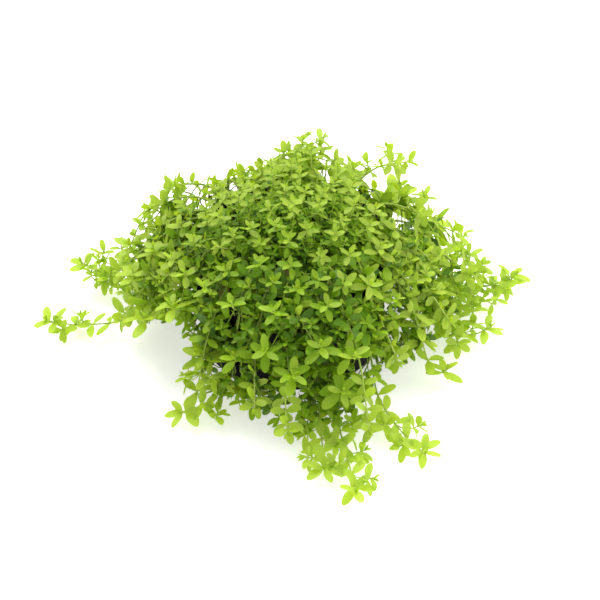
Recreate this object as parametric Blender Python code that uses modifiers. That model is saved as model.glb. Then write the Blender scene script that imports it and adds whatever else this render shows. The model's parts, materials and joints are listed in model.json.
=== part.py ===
"""Pearlweed, an aquarium plant, growing out of the short mesh pot in which it is sold.

Metres, +Z up. The origin is the middle of the pot's underside, which stands on the table, and -Y is the front.
Three kinds of piece: the pot, the plug of mineral wool inside it, and the shoots. A shoot is one stem with
the whorls of leaves that have grown out of it, so each shoot is one closed solid. The stems that trail over
the rim lie along the table.
"""

import math
import random

import bmesh
import bpy
from mathutils import Matrix, Quaternion, Vector
from mathutils.bvhtree import BVHTree

# Pot: a short tapered basket of black plastic
POT_HEIGHT = 0.028
POT_BASE_RADIUS = 0.0234
POT_TOP_RADIUS = 0.0256
POT_WALL = 0.0010
POT_FLOOR = 0.0014
RIM_RADIUS = 0.0275
RIM_DEPTH = 0.0022
POT_STEPS = 24
SLOT_COUNT = 10
SLOT_WIDTH = 0.0022
SLOT_BOTTOM = 0.0050
SLOT_TOP = 0.0215
FLOOR_SLOT_COUNT = 6
FLOOR_SLOT_INNER = 0.0070
FLOOR_SLOT_OUTER = 0.0180

# Plug: mineral wool, slightly domed where the stems come up
PLUG_GAP = 0.0003
PLUG_EDGE_HEIGHT = 0.0245
PLUG_DOME = 0.0018
PLUG_EDGE_ROUND = 0.0015
PLUG_STEPS = 18

# Stems
STEM_RADIUS = 0.00055
STEM_START_GAP = 0.0009
NODE_HEIGHT = 0.0006
RING_SPACING = 0.0065
STEM_GUARD = 0.0001
STEM_TRIES = 90
STEM_ASIDE = 15.0
SAMPLES_PER_SPAN = 24

# Courses of the stems. Each gives the radius of the root, then what the stem passes on the way to its tip.
# Pairs are the least and the most that is drawn, and a sway is in degrees either way.
TRAILING_ROOT = (0.0180, 0.0200)
TRAILING_CREST_RADIUS = 0.0250
TRAILING_CREST_RISE = (0.0040, 0.0060)
TRAILING_FALL_RADIUS = 0.0350
TRAILING_FALL_HEIGHT = 0.0180
TRAILING_TOUCH_RADIUS = 0.0405
TRAILING_TOUCH_HEIGHT = 0.0040
TRAILING_TOUCH_SHARE = 0.70
TRAILING_LYING_PLACE = 0.55
TRAILING_LYING_HEIGHT = 0.0020
TRAILING_LYING_SHARE = 0.35
TRAILING_SWAY = 3.0
HANGING_ROOT = (0.0140, 0.0165)
HANGING_CREST_RADIUS = 0.0230
HANGING_CREST_RISE = (0.0060, 0.0090)
HANGING_BEND_FROM = 0.0270
HANGING_BEND_PLACE = 0.45
HANGING_BEND_SHARE = 0.55
HANGING_SWAY = 3.0
LEANING_ROOT = (0.0095, 0.0125)
LEANING_FOOT_RADIUS = 0.0140
LEANING_FOOT_RISE = 0.0010
LEANING_BEND_FROM = 0.0110
LEANING_RIM_RISE = 0.0040
LEANING_BEND_RISE = (0.0020, 0.0045)
LEANING_SWAY = 4.0
DOME_ROOT = 0.0015
DOME_ROOT_SPREAD = 0.0075
DOME_INNER_REACH = 0.0025
DOME_BEND_PLACE = 0.30
DOME_BEND_SHARE = 0.50
DOME_HEIGHT_PLAY = 0.0025
DOME_SWAY = 6.0

# Leaves: whorls of three, each turned so that its leaves stand over the gaps of the next. Near the tips inside
# the bush two whorls sit so close together that they read as a star of six.
SINGLE = 1
DOUBLE = 2
TRAILING_WHORLS = ((0.0014, SINGLE), (0.0050, SINGLE), (0.0092, SINGLE), (0.0136, SINGLE), (0.0182, SINGLE))
HANGING_WHORLS = ((0.0011, SINGLE), (0.0040, DOUBLE), (0.0084, SINGLE), (0.0128, SINGLE))
LEANING_WHORLS = ((0.0011, SINGLE), (0.0038, DOUBLE), (0.0082, SINGLE))
UPRIGHT_WHORLS = ((0.0010, SINGLE), (0.0036, DOUBLE), (0.0084, DOUBLE))
WHORL_LENGTHS = (0.0034, 0.0044, 0.0048, 0.0048, 0.0046)
WHORL_RISES = (40.0, 20.0, 10.0, 8.0, 6.0)
SINGLE_TURN = 60.0
DOUBLE_TURN = 30.0
LEAF_WIDTH_SHARE = 0.55
LEAF_THICKNESS = 0.00030
LEAF_WIDEST = 0.50
LEAF_DROOP = 0.10
STUB_LENGTH = 0.0011
HUB_RADIUS = 0.0018
SINGLE_NOTCH = 0.00085
DOUBLE_NOTCH = 0.00120
TURN_TO_LIGHT = 0.60
MOST_TWIST = math.radians(28.0)
GROUND_CLEARANCE = 0.0007
GUARD = 0.00012
TRAILING_VIGOUR = 1.10
SIZES_TRIED = (1.0, 0.85, 0.7, 0.55)
SWINGS_TRIED = (0, 8, -8, 16, -16)
LIFTS_TRIED = (0, 14, -14, 28)

# How far along a leaf its guard starts, and how wide it is there: the whole leaf has to be clear of the other
# shoots, and the free part of it of its own stem and its own whorl too.
WHOLE_LEAF = (0.06, 0.50)
FREE_PART = (0.36, 0.85)

# Where the shoots reach, as (degrees round from +X, distance from the axis, height of the tip). The lists
# follow the outline of the plant, and the front of it is at 270 degrees.
TRAILING = (
    (181, 0.0645, 0.0045),
    (161, 0.0600, 0.0080),
    (233, 0.0465, 0.0045),
    (278, 0.0590, 0.0045),
    (283.5, 0.0680, 0.0045),
    (302, 0.0625, 0.0050),
    (332, 0.0455, 0.0055),
    (353, 0.0525, 0.0070),
    (13, 0.0620, 0.0085),
)
HANGING = (
    (190, 0.0450, 0.0100),
    (173, 0.0460, 0.0150),
    (244, 0.0370, 0.0110),
    (258, 0.0430, 0.0100),
    (269, 0.0480, 0.0070),
    (292, 0.0520, 0.0080),
    (314, 0.0390, 0.0130),
    (343, 0.0430, 0.0130),
    (4, 0.0490, 0.0150),
    (25, 0.0510, 0.0150),
    (52, 0.0470, 0.0120),
    (82, 0.0430, 0.0140),
    (107, 0.0460, 0.0100),
    (130, 0.0440, 0.0130),
)
LEANING = (
    (149, 0.0455, 0.0220),
    (140, 0.0410, 0.0290),
    (166, 0.0360, 0.0280),
    (186, 0.0340, 0.0260),
    (207, 0.0325, 0.0255),
    (229, 0.0325, 0.0265),
    (250, 0.0310, 0.0270),
    (273, 0.0330, 0.0300),
    (292, 0.0330, 0.0270),
    (313, 0.0320, 0.0280),
    (334, 0.0330, 0.0270),
    (355, 0.0350, 0.0270),
    (17, 0.0390, 0.0290),
    (34, 0.0380, 0.0400),
    (60, 0.0330, 0.0330),
    (78, 0.0260, 0.0400),
    (92, 0.0300, 0.0320),
    (116, 0.0320, 0.0310),
)
DOME_COUNT = 12
DOME_REACH = 0.0235
DOME_TOP = 0.0500
DOME_FALL = 0.0140
GOLDEN_ANGLE = 137.508
SEED = 7

POT_COLOUR = (0.012, 0.012, 0.014, 1.0)
PLUG_COLOUR = (0.060, 0.048, 0.028, 1.0)
SHOOT_COLOUR = (0.230, 0.420, 0.030, 1.0)


def material(name, colour, roughness):
    """A plain finish with one colour."""
    finish = bpy.data.materials.new(name)
    finish.use_nodes = True
    shader = finish.node_tree.nodes["Principled BSDF"]
    shader.inputs["Base Color"].default_value = colour
    shader.inputs["Roughness"].default_value = roughness
    return finish


def add_object(name, mesh, collection, finish=None):
    """A new object that holds the mesh, in the collection."""
    thing = bpy.data.objects.new(name, mesh)
    if finish:
        mesh.materials.append(finish)
    collection.objects.link(thing)
    return thing


def turned(name, profile, steps, collection, finish):
    """A solid of revolution from a profile of (radius, height) pairs that runs down its outer side."""
    mesh = bpy.data.meshes.new(name)
    points = [(radius, 0.0, height) for radius, height in profile]
    mesh.from_pydata(points, [(i, i + 1) for i in range(len(points) - 1)], [])
    thing = add_object(name, mesh, collection, finish)
    screw = thing.modifiers.new("Turn", "SCREW")
    screw.steps = steps
    screw.render_steps = steps
    screw.use_merge_vertices = True
    screw.merge_threshold = 0.00001
    screw.use_smooth_shade = True
    return thing


def boxes(name, sizes_and_places, collection):
    """One cutter that holds a box for each (size, matrix)."""
    bm = bmesh.new()
    for size, place in sizes_and_places:
        bmesh.ops.create_cube(bm, matrix=place @ Matrix.Diagonal((*size, 1.0)))
    mesh = bpy.data.meshes.new(name)
    bm.to_mesh(mesh)
    bm.free()
    cutter = add_object(name, mesh, collection)
    cutter.display_type = "WIRE"
    cutter.hide_render = True
    return cutter


def round_axis(index, count):
    """The turn about Z of one of count things spaced evenly round the axis."""
    return Matrix.Rotation(math.tau * index / count, 4, "Z")


def make_pot(parts, cutters):
    """The basket: a rolled rim, a tapered wall with upright slots, and a floor with radial slots."""
    profile = (
        (0.0, POT_FLOOR),
        (POT_BASE_RADIUS - POT_WALL, POT_FLOOR),
        (POT_TOP_RADIUS - POT_WALL, POT_HEIGHT),
        (RIM_RADIUS, POT_HEIGHT),
        (RIM_RADIUS, POT_HEIGHT - RIM_DEPTH),
        (POT_TOP_RADIUS, POT_HEIGHT - RIM_DEPTH),
        (POT_BASE_RADIUS, 0.0),
        (0.0, 0.0),
    )
    pot = turned("pot", profile, POT_STEPS, parts, material("black plastic", POT_COLOUR, 0.45))
    wall_middle = Vector((POT_TOP_RADIUS, 0.0, (SLOT_BOTTOM + SLOT_TOP) / 2))
    wall_slot = Vector((0.008, SLOT_WIDTH, SLOT_TOP - SLOT_BOTTOM))
    floor_middle = Vector(((FLOOR_SLOT_INNER + FLOOR_SLOT_OUTER) / 2, 0.0, POT_FLOOR / 2))
    floor_slot = Vector((FLOOR_SLOT_OUTER - FLOOR_SLOT_INNER, SLOT_WIDTH, 3 * POT_FLOOR))
    cuts = [
        (wall_slot, round_axis(i + 0.5, SLOT_COUNT) @ Matrix.Translation(wall_middle))
        for i in range(SLOT_COUNT)
    ]
    cuts += [
        (floor_slot, round_axis(i, FLOOR_SLOT_COUNT) @ Matrix.Translation(floor_middle))
        for i in range(FLOOR_SLOT_COUNT)
    ]
    cut = pot.modifiers.new("Slots", "BOOLEAN")
    cut.operation = "DIFFERENCE"
    cut.solver = "EXACT"
    cut.object = boxes("pot slots", cuts, cutters)
    return pot


def plug_height(radius):
    """How high the top of the plug is, that far from the axis."""
    share = radius / (POT_TOP_RADIUS - POT_WALL)
    return PLUG_EDGE_HEIGHT + PLUG_DOME * (1 - share * share)


def make_plug(parts):
    """The mineral wool that fills the pot, with a gap to the wall and the floor."""
    taper = (POT_TOP_RADIUS - POT_BASE_RADIUS) / POT_HEIGHT
    inside = POT_BASE_RADIUS - POT_WALL - PLUG_GAP
    edge = inside + taper * PLUG_EDGE_HEIGHT
    shoulder = edge - PLUG_EDGE_ROUND
    floor = POT_FLOOR + PLUG_GAP
    profile = (
        (0.0, plug_height(0.0)),
        (shoulder / 2, plug_height(shoulder / 2)),
        (shoulder, plug_height(shoulder)),
        (edge - PLUG_GAP, PLUG_EDGE_HEIGHT - PLUG_EDGE_ROUND),
        (inside, floor),
        (0.0, floor),
    )
    return turned("wool_plug", profile, PLUG_STEPS, parts, material("mineral wool", PLUG_COLOUR, 0.9))


class Stem:
    """The smooth centre line through a few points, read by the distance back from its tip."""

    def __init__(self, points):
        ends = [2 * points[0] - points[1], *points, 2 * points[-1] - points[-2]]
        line = [points[0]]
        for a, b, c, d in zip(ends, ends[1:], ends[2:], ends[3:]):
            for step in range(1, SAMPLES_PER_SPAN + 1):
                line.append(self.between(a, b, c, d, step / SAMPLES_PER_SPAN))
        self.line = line[::-1]
        self.reached = [0.0]
        for before, after in zip(self.line, self.line[1:]):
            self.reached.append(self.reached[-1] + (after - before).length)
        self.length = self.reached[-1]

    @staticmethod
    def between(a, b, c, d, share):
        """A point on the Catmull-Rom curve from b to c."""
        bend = (2 * a - 5 * b + 4 * c - d) * share**2 + (3 * b - a - 3 * c + d) * share**3
        return 0.5 * (2 * b + (c - a) * share + bend)

    def at(self, back):
        """The point that far back from the tip, and the direction of growth there."""
        back = min(max(back, 0.0), self.length)
        after = next(i for i in range(1, len(self.line)) if self.reached[i] >= back - 1e-12)
        span = self.reached[after] - self.reached[after - 1]
        share = (back - self.reached[after - 1]) / span
        point = self.line[after - 1].lerp(self.line[after], share)
        return point, (self.line[after - 1] - self.line[after]).normalized()


def round_to(degrees, radius, height):
    """The point at that angle, distance from the axis and height."""
    angle = math.radians(degrees)
    return Vector((radius * math.cos(angle), radius * math.sin(angle), height))


def root(degrees, radius):
    """Where a stem comes out of the plug."""
    return round_to(degrees, radius, plug_height(radius) + STEM_START_GAP)


def either_way(draw, most):
    """A drawn amount between -most and most."""
    return draw.uniform(-most, most)


def trailing_points(degrees, reach, height, draw):
    """Over the rim, down to the table and along it, with the tip turned up a little."""
    lying = TRAILING_TOUCH_RADIUS + TRAILING_LYING_PLACE * (reach - TRAILING_TOUCH_RADIUS)
    sway = either_way(draw, TRAILING_SWAY)
    return [
        root(degrees, draw.uniform(*TRAILING_ROOT)),
        round_to(degrees, TRAILING_CREST_RADIUS, POT_HEIGHT + draw.uniform(*TRAILING_CREST_RISE)),
        round_to(degrees + sway, TRAILING_FALL_RADIUS, TRAILING_FALL_HEIGHT + height),
        round_to(
            degrees + sway, TRAILING_TOUCH_RADIUS, TRAILING_TOUCH_HEIGHT + TRAILING_TOUCH_SHARE * height
        ),
        round_to(degrees + sway / 2, lying, TRAILING_LYING_HEIGHT + TRAILING_LYING_SHARE * height),
        round_to(degrees, reach, height),
    ]


def hanging_points(degrees, reach, height, draw):
    """Over the rim and down beside the pot, with the tip held outwards."""
    crest = POT_HEIGHT + draw.uniform(*HANGING_CREST_RISE)
    bend = HANGING_BEND_FROM + HANGING_BEND_PLACE * (reach - HANGING_BEND_FROM)
    sway = either_way(draw, HANGING_SWAY)
    return [
        root(degrees, draw.uniform(*HANGING_ROOT)),
        round_to(degrees, HANGING_CREST_RADIUS, crest),
        round_to(degrees + sway, bend, height + HANGING_BEND_SHARE * (crest - height)),
        round_to(degrees, reach, height),
    ]


def leaning_points(degrees, reach, height, draw):
    """Up out of the plug and outwards."""
    bend = (LEANING_BEND_FROM + reach) / 2
    top = max(height, POT_HEIGHT + LEANING_RIM_RISE) + draw.uniform(*LEANING_BEND_RISE)
    sway = either_way(draw, LEANING_SWAY)
    return [
        root(degrees, draw.uniform(*LEANING_ROOT)),
        round_to(degrees, LEANING_FOOT_RADIUS, (top + PLUG_EDGE_HEIGHT) / 2 + LEANING_FOOT_RISE),
        round_to(degrees + sway, bend, top),
        round_to(degrees, reach, height),
    ]


def dome_points(degrees, share, draw):
    """Up from the middle of the plug: share is 0 on the axis and 1 at the edge of the dome."""
    start = DOME_ROOT + DOME_ROOT_SPREAD * share
    reach = DOME_INNER_REACH + (DOME_REACH - DOME_INNER_REACH) * share
    height = DOME_TOP - DOME_FALL * share**2 + either_way(draw, DOME_HEIGHT_PLAY)
    bend = start + DOME_BEND_PLACE * (reach - start)
    return [
        root(degrees, start),
        round_to(degrees, bend, PLUG_EDGE_HEIGHT + DOME_BEND_SHARE * (height - PLUG_EDGE_HEIGHT)),
        round_to(degrees + either_way(draw, DOME_SWAY), reach, height),
    ]


def planned_shoots():
    """Every shoot as (name, what draws its course, its angle, reach and height or share, its whorls)."""
    groups = (
        ("trailing_shoot", TRAILING, trailing_points, TRAILING_WHORLS),
        ("hanging_shoot", HANGING, hanging_points, HANGING_WHORLS),
        ("leaning_shoot", LEANING, leaning_points, LEANING_WHORLS),
    )
    plans = []
    for group, reaches, points_for, whorls in groups:
        for number, place in enumerate(reaches, 1):
            plans.append((f"{group}_{number:02d}", points_for, place, whorls))
    for number in range(1, DOME_COUNT + 1):
        place = (number * GOLDEN_ANGLE, math.sqrt((number - 0.5) / DOME_COUNT))
        plans.append((f"upright_shoot_{number:02d}", dome_points, place, UPRIGHT_WHORLS))
    return plans


def across(growth):
    """A direction at right angles to the growth, as near level as it can be."""
    level = Vector((0.0, 0.0, 1.0)).cross(growth)
    return level.normalized() if level.length > 0.2 else Vector((1.0, 0.0, 0.0)).cross(growth).normalized()


def towards_light(growth, pointing):
    """The direction that the upper side of a leaf faces: along the growth, twisted some way towards the light."""
    along = growth - pointing * growth.dot(pointing)
    if along.length < 0.05:
        return across(pointing)
    along.normalize()
    level = pointing.cross(along)
    twist = math.atan2(level.z, along.z) * TURN_TO_LIGHT
    twist = min(max(twist, -MOST_TWIST), MOST_TWIST)
    return along * math.cos(twist) + level * math.sin(twist)


class Leaf:
    """One leaf of a whorl: where it starts, where it points and how wide it is."""

    def __init__(self, base, growth, radial, rise, length):
        pointing = radial * math.cos(rise) + growth * math.sin(rise)
        lowest = (GROUND_CLEARANCE + LEAF_DROOP * length - base.z) / length
        if pointing.z < lowest:
            flat = Vector((pointing.x, pointing.y, 0.0)).normalized()
            pointing = flat * math.sqrt(max(0.0, 1 - lowest * lowest)) + Vector((0.0, 0.0, lowest))
        self.upper = towards_light(growth, pointing)
        self.side = self.upper.cross(pointing)
        self.base = base
        self.pointing = pointing
        self.length = length
        self.half_width = LEAF_WIDTH_SHARE * length / 2

    def middle(self, share):
        """The point that far along the midrib."""
        sag = self.upper * (-LEAF_DROOP * self.length * share**2)
        return self.base + self.pointing * (self.length * share) + sag

    def edges(self):
        """The two ends of its widest part."""
        wide = self.middle(LEAF_WIDEST)
        return wide + self.side * self.half_width, wide - self.side * self.half_width

    def corners(self, share, half_width, half_thickness):
        """The four corners of a cut across the leaf."""
        signs = ((1, 1), (-1, 1), (-1, -1), (1, -1))
        centre = self.middle(share)
        return [centre + self.side * (half_width * s) + self.upper * (half_thickness * t) for s, t in signs]

    def guard(self, start, width_share):
        """A slightly larger closed shape from that far along the leaf to its tip, which has to stay clear."""
        near = self.corners(start, self.half_width * width_share + GUARD, LEAF_THICKNESS + GUARD)
        wide = self.corners(LEAF_WIDEST, self.half_width + GUARD, LEAF_THICKNESS / 2 + GUARD)
        sides = [(i, (i + 1) % 4, 4 + (i + 1) % 4, 4 + i) for i in range(4)]
        ends = [(4 + i, 4 + (i + 1) % 4, 8) for i in range(4)]
        tip = self.middle(1.0) + self.pointing * (2 * GUARD)
        return near + wide + [tip], sides + ends + [(3, 2, 1, 0)]


class Clearance:
    """What is already there, so that no leaf runs through a neighbour."""

    def __init__(self):
        self.things = []
        self.blocker = None
        self.stubs = 0

    def add(self, owner, points, faces):
        middle = sum(points, Vector()) / len(points)
        radius = max((point - middle).length for point in points)
        tree = BVHTree.FromPolygons([tuple(p) for p in points], faces)
        self.things.append((owner, middle, radius, tree))

    def is_free(self, points, faces, ignored):
        middle = sum(points, Vector()) / len(points)
        radius = max((point - middle).length for point in points)
        tree = None
        for owner, centre, size, other in self.things:
            if owner in ignored or (centre - middle).length > size + radius:
                continue
            tree = tree or BVHTree.FromPolygons([tuple(p) for p in points], faces)
            if tree.overlap(other):
                self.blocker = owner
                return False
        return True


def ring_of(stem, back, turn, radius, before=None):
    """Three corners of the stem's section there, and the direction that they are measured from."""
    point, growth = stem.at(back)
    start = (before - growth * before.dot(growth)).normalized() if before else across(growth)
    return [point + turned_about(growth, start, turn + 120 * i) * radius for i in range(3)], start


def turned_about(growth, start, degrees):
    """The direction start, turned about the growth."""
    return Quaternion(growth, math.radians(degrees)) @ start


def whorl_turns(whorls):
    """How far round the stem the corners of each whorl are, in degrees, with little twist between neighbours."""
    turns = []
    for number in reversed(range(len(whorls))):
        turn = number * (SINGLE_TURN if whorls[number][1] == SINGLE else DOUBLE_TURN)
        if turns:
            turn += 120 * round((turns[0] - turn) / 120)
        turns.insert(0, turn)
    return turns


def stem_sections(stem, whorls, radius):
    """The sections of a stem from its root to its tip, as (corners, start, the number of a whorl above it)."""
    sections = []
    start = None
    bare_to, _ = whorls[-1]
    turns = whorl_turns(whorls)
    count = math.ceil((stem.length - bare_to) / RING_SPACING)
    for i in range(count):
        back = stem.length + (bare_to + NODE_HEIGHT - stem.length) * i / count
        corners, start = ring_of(stem, back, turns[-1], radius, start)
        sections.append((corners, start, None))
    for number in reversed(range(len(whorls))):
        back, _ = whorls[number]
        for side in (1, -1):
            place = back + side * NODE_HEIGHT / 2
            corners, start = ring_of(stem, place, turns[number], radius, start)
            sections.append((corners, start, number if side > 0 else None))
    return sections


def tube_faces(count):
    """The faces of a closed tube of count three-cornered sections."""
    sides = [
        (3 * r + i, 3 * r + (i + 1) % 3, 3 * r + 3 + (i + 1) % 3, 3 * r + 3 + i)
        for r in range(count - 1)
        for i in range(3)
    ]
    last = 3 * (count - 1)
    return sides + [(2, 1, 0), (last, last + 1, last + 2)]


def whorl_name(name, number):
    """The name under which the leaves of a shoot's whorl are kept."""
    return f"{name} whorl {number}"


def hub_name(name, number):
    """The name under which the hub of that whorl is kept."""
    return f"{name} hub {number}"


def leaf_that_fits(name, number, place, radial, rise, length, clearance):
    """The leaf in its natural place, or turned or shortened until it is clear. A stub is what is left of it."""
    point, growth = place
    base = point + radial * STEM_RADIUS
    whorl = whorl_name(name, number)
    hub_here = hub_name(name, number)
    for size in SIZES_TRIED:
        for swing in SWINGS_TRIED:
            for lift in LIFTS_TRIED:
                turned_radial = turned_about(growth, radial, swing)
                leaf = Leaf(base, growth, turned_radial, math.radians(rise + lift), length * size)
                points, faces = leaf.guard(*WHOLE_LEAF)
                free_points, _ = leaf.guard(*FREE_PART)
                if min(point.z for point in points) < GROUND_CLEARANCE / 2:
                    continue
                if not clearance.is_free(points, faces, (name, whorl, hub_here)):
                    continue
                if clearance.is_free(free_points, faces, (hub_here,)):
                    clearance.add(whorl, points, faces)
                    return leaf
    clearance.stubs += 1
    return Leaf(base, growth, radial, 0.0, STUB_LENGTH)


def whorl_outline(name, place, start, turn, number, kind, vigour, clearance):
    """The edge of a whorl, leaf by leaf, from one corner of the stem round to it again."""
    point, growth = place
    length = WHORL_LENGTHS[number] * vigour
    spread = 120 / kind
    notch_radius = SINGLE_NOTCH if kind == SINGLE else DOUBLE_NOTCH
    rise = WHORL_RISES[number]
    points = []
    for leaf_number in range(3 * kind):
        first = turn + spread * leaf_number
        radial = turned_about(growth, start, first + spread / 2)
        leaf = leaf_that_fits(name, number, place, radial, rise, length, clearance)
        notch = point + turned_about(growth, start, first) * notch_radius
        edges = sorted(leaf.edges(), key=lambda edge: (edge - notch).length)
        points += [notch, edges[0], leaf.middle(1.0), edges[1]]
    return points


def whorl_faces(below, edge, above):
    """The faces from the corners below a whorl out to its edge, and back in to the corners above it."""
    steps = len(edge) // 3
    faces = []
    for side in range(3):
        outer = [edge[(steps * side + step) % len(edge)] for step in range(steps + 1)]
        for ring in (below, above):
            near, far = ring[side], ring[(side + 1) % 3]
            faces.append((near, far, outer[steps // 2]))
            for step in range(steps):
                corner = near if step < steps // 2 else far
                faces.append((corner, outer[step], outer[step + 1]))
    return faces


def make_shoot(name, stem, whorls, vigour, clearance, parts, finish):
    """One stem with its whorls, as a single closed skin."""
    bm = bmesh.new()
    sections = stem_sections(stem, whorls, STEM_RADIUS)
    turns = whorl_turns(whorls)
    rings = [[bm.verts.new(corner) for corner in corners] for corners, _, _ in sections]
    bm.faces.new(rings[0])
    for (_, start, number), below, above in zip(sections, rings, rings[1:]):
        if number is None:
            for i in range(3):
                bm.faces.new((below[i], below[(i + 1) % 3], above[(i + 1) % 3], above[i]))
            continue
        back, kind = whorls[number]
        place = stem.at(back)
        outline = whorl_outline(name, place, start, turns[number], number, kind, vigour, clearance)
        edge = [bm.verts.new(point) for point in outline]
        for face in whorl_faces(below, edge, above):
            bm.faces.new(face)
    bud = bm.verts.new(stem.at(0.0)[0])
    for i in range(3):
        bm.faces.new((rings[-1][i], rings[-1][(i + 1) % 3], bud))
    bmesh.ops.recalc_face_normals(bm, faces=bm.faces)
    if bm.calc_volume(signed=True) < 0:
        bmesh.ops.reverse_faces(bm, faces=bm.faces)
    mesh = bpy.data.meshes.new(name)
    bm.to_mesh(mesh)
    bm.free()
    add_object(name, mesh, parts, finish)


def hub(stem, back):
    """A six-sided disc round the stem, which keeps the middle of a whorl clear of the others."""
    points = []
    for side in (-1, 1):
        corners, _ = ring_of(stem, back + side * NODE_HEIGHT / 2, 0.0, HUB_RADIUS)
        between, _ = ring_of(stem, back + side * NODE_HEIGHT / 2, 60.0, HUB_RADIUS)
        points += [point for pair in zip(corners, between) for point in pair]
    sides = [(i, (i + 1) % 6, 6 + (i + 1) % 6, 6 + i) for i in range(6)]
    return points, sides + [tuple(range(6)), tuple(range(6, 12))]


def stem_that_fits(name, points_for, place, whorls, seed, clearance):
    """The stem, with its course drawn again until it is clear of the others."""
    degrees, *rest = place
    for attempt in range(STEM_TRIES):
        draw = random.Random(seed * STEM_TRIES + attempt)
        aside = draw.uniform(-1.0, 1.0) * STEM_ASIDE * attempt / STEM_TRIES
        stem = Stem(points_for(degrees + aside, *rest, draw))
        sections = stem_sections(stem, whorls, STEM_RADIUS + STEM_GUARD)
        tube = [corner for corners, _, _ in sections for corner in corners]
        shapes = [(name, tube, tube_faces(len(sections)))]
        shapes += [(hub_name(name, i), *hub(stem, back)) for i, (back, _) in enumerate(whorls)]
        if all(clearance.is_free(points, faces, ()) for _, points, faces in shapes):
            for owner, points, faces in shapes:
                clearance.add(owner, points, faces)
            return stem
    raise ValueError(f"{name} has no clear course past {clearance.blocker}")


def main():
    for thing in list(bpy.data.objects):
        bpy.data.objects.remove(thing)
    parts = bpy.data.collections.new("pearlweed")
    cutters = bpy.data.collections.new("cutters")
    for collection in (parts, cutters):
        bpy.context.scene.collection.children.link(collection)
    clearance = Clearance()
    holders = [make_pot(parts, cutters), make_plug(parts)]
    graph = bpy.context.evaluated_depsgraph_get()
    for holder in holders:
        mesh = holder.evaluated_get(graph).to_mesh()
        points = [vertex.co.copy() for vertex in mesh.vertices]
        clearance.add(holder.name, points, [tuple(face.vertices) for face in mesh.polygons])
    plans = planned_shoots()
    stems = {}
    for seed, (name, points_for, place, whorls) in enumerate(plans, SEED * len(plans)):
        stems[name] = stem_that_fits(name, points_for, place, whorls, seed, clearance)
    finish = material("pearlweed green", SHOOT_COLOUR, 0.5)
    for name, _, _, whorls in plans:
        vigour = TRAILING_VIGOUR if whorls is TRAILING_WHORLS else 1.0
        make_shoot(name, stems[name], whorls, vigour, clearance, parts, finish)
    print("leaves that found no room:", clearance.stubs)


main()
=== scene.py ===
# %% [markdown]
# # Pearlweed in its pot
#
# Pearlweed is an aquarium plant with very thin stems and whorls of tiny leaves. Thousands of leaves make a
# low mound that hides the pot it grows in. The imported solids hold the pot, the plug of wool in it and the
# main shoots. This notebook dresses them: it grows every main shoot again in detail, adds the side shoots
# that fill the mound, and gives each finish its own procedural material.
#
# The first cell loads the solids. Everything later is placed from them, in metres, with +Z up.

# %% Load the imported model
import json
import math
import random
from collections import namedtuple

import bmesh
import bpy
from mathutils import Matrix, Vector, noise

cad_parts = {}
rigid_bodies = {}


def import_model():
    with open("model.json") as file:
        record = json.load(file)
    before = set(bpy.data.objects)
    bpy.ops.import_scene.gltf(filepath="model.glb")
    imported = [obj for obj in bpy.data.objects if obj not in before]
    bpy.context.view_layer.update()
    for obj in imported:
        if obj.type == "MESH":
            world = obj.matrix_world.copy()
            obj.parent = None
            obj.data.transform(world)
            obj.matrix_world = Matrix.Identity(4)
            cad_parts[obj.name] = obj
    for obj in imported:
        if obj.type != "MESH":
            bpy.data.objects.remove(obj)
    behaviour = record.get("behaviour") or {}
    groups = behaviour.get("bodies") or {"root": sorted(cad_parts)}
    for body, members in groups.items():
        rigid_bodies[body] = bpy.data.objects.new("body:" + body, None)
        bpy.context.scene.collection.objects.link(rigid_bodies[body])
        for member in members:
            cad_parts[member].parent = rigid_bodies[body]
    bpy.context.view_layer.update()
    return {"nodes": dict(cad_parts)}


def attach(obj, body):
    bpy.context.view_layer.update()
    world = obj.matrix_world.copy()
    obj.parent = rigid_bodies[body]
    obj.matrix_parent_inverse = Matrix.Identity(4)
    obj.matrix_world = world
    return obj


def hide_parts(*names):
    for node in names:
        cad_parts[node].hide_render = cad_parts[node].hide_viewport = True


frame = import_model()
nodes = frame["nodes"]

# %% [markdown]
# ## Node trees written as expressions
#
# Both kinds of node tree in this notebook, for materials and for geometry, are written with the same two
# small classes. A field wraps the output of a node. Adding or multiplying fields adds the Math node that
# does it, so a formula reads as a formula. Every other node comes from one method, which takes the type of
# the node, its settings and what goes into its sockets.


# %% Fields and trees
class Field:
    """The output of a node, which can be used in an expression."""

    def __init__(self, tree, socket):
        self.tree = tree
        self.socket = socket

    def __add__(self, other):
        return self.tree.math("ADD", self, other)

    def __radd__(self, other):
        return self.tree.math("ADD", other, self)

    def __sub__(self, other):
        return self.tree.math("SUBTRACT", self, other)

    def __rsub__(self, other):
        return self.tree.math("SUBTRACT", other, self)

    def __mul__(self, other):
        return self.tree.math("MULTIPLY", self, other)

    def __rmul__(self, other):
        return self.tree.math("MULTIPLY", other, self)

    def __truediv__(self, other):
        return self.tree.math("DIVIDE", self, other)

    def __gt__(self, other):
        return self.tree.math("GREATER_THAN", self, other)

    def __lt__(self, other):
        return self.tree.math("LESS_THAN", self, other)


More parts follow.
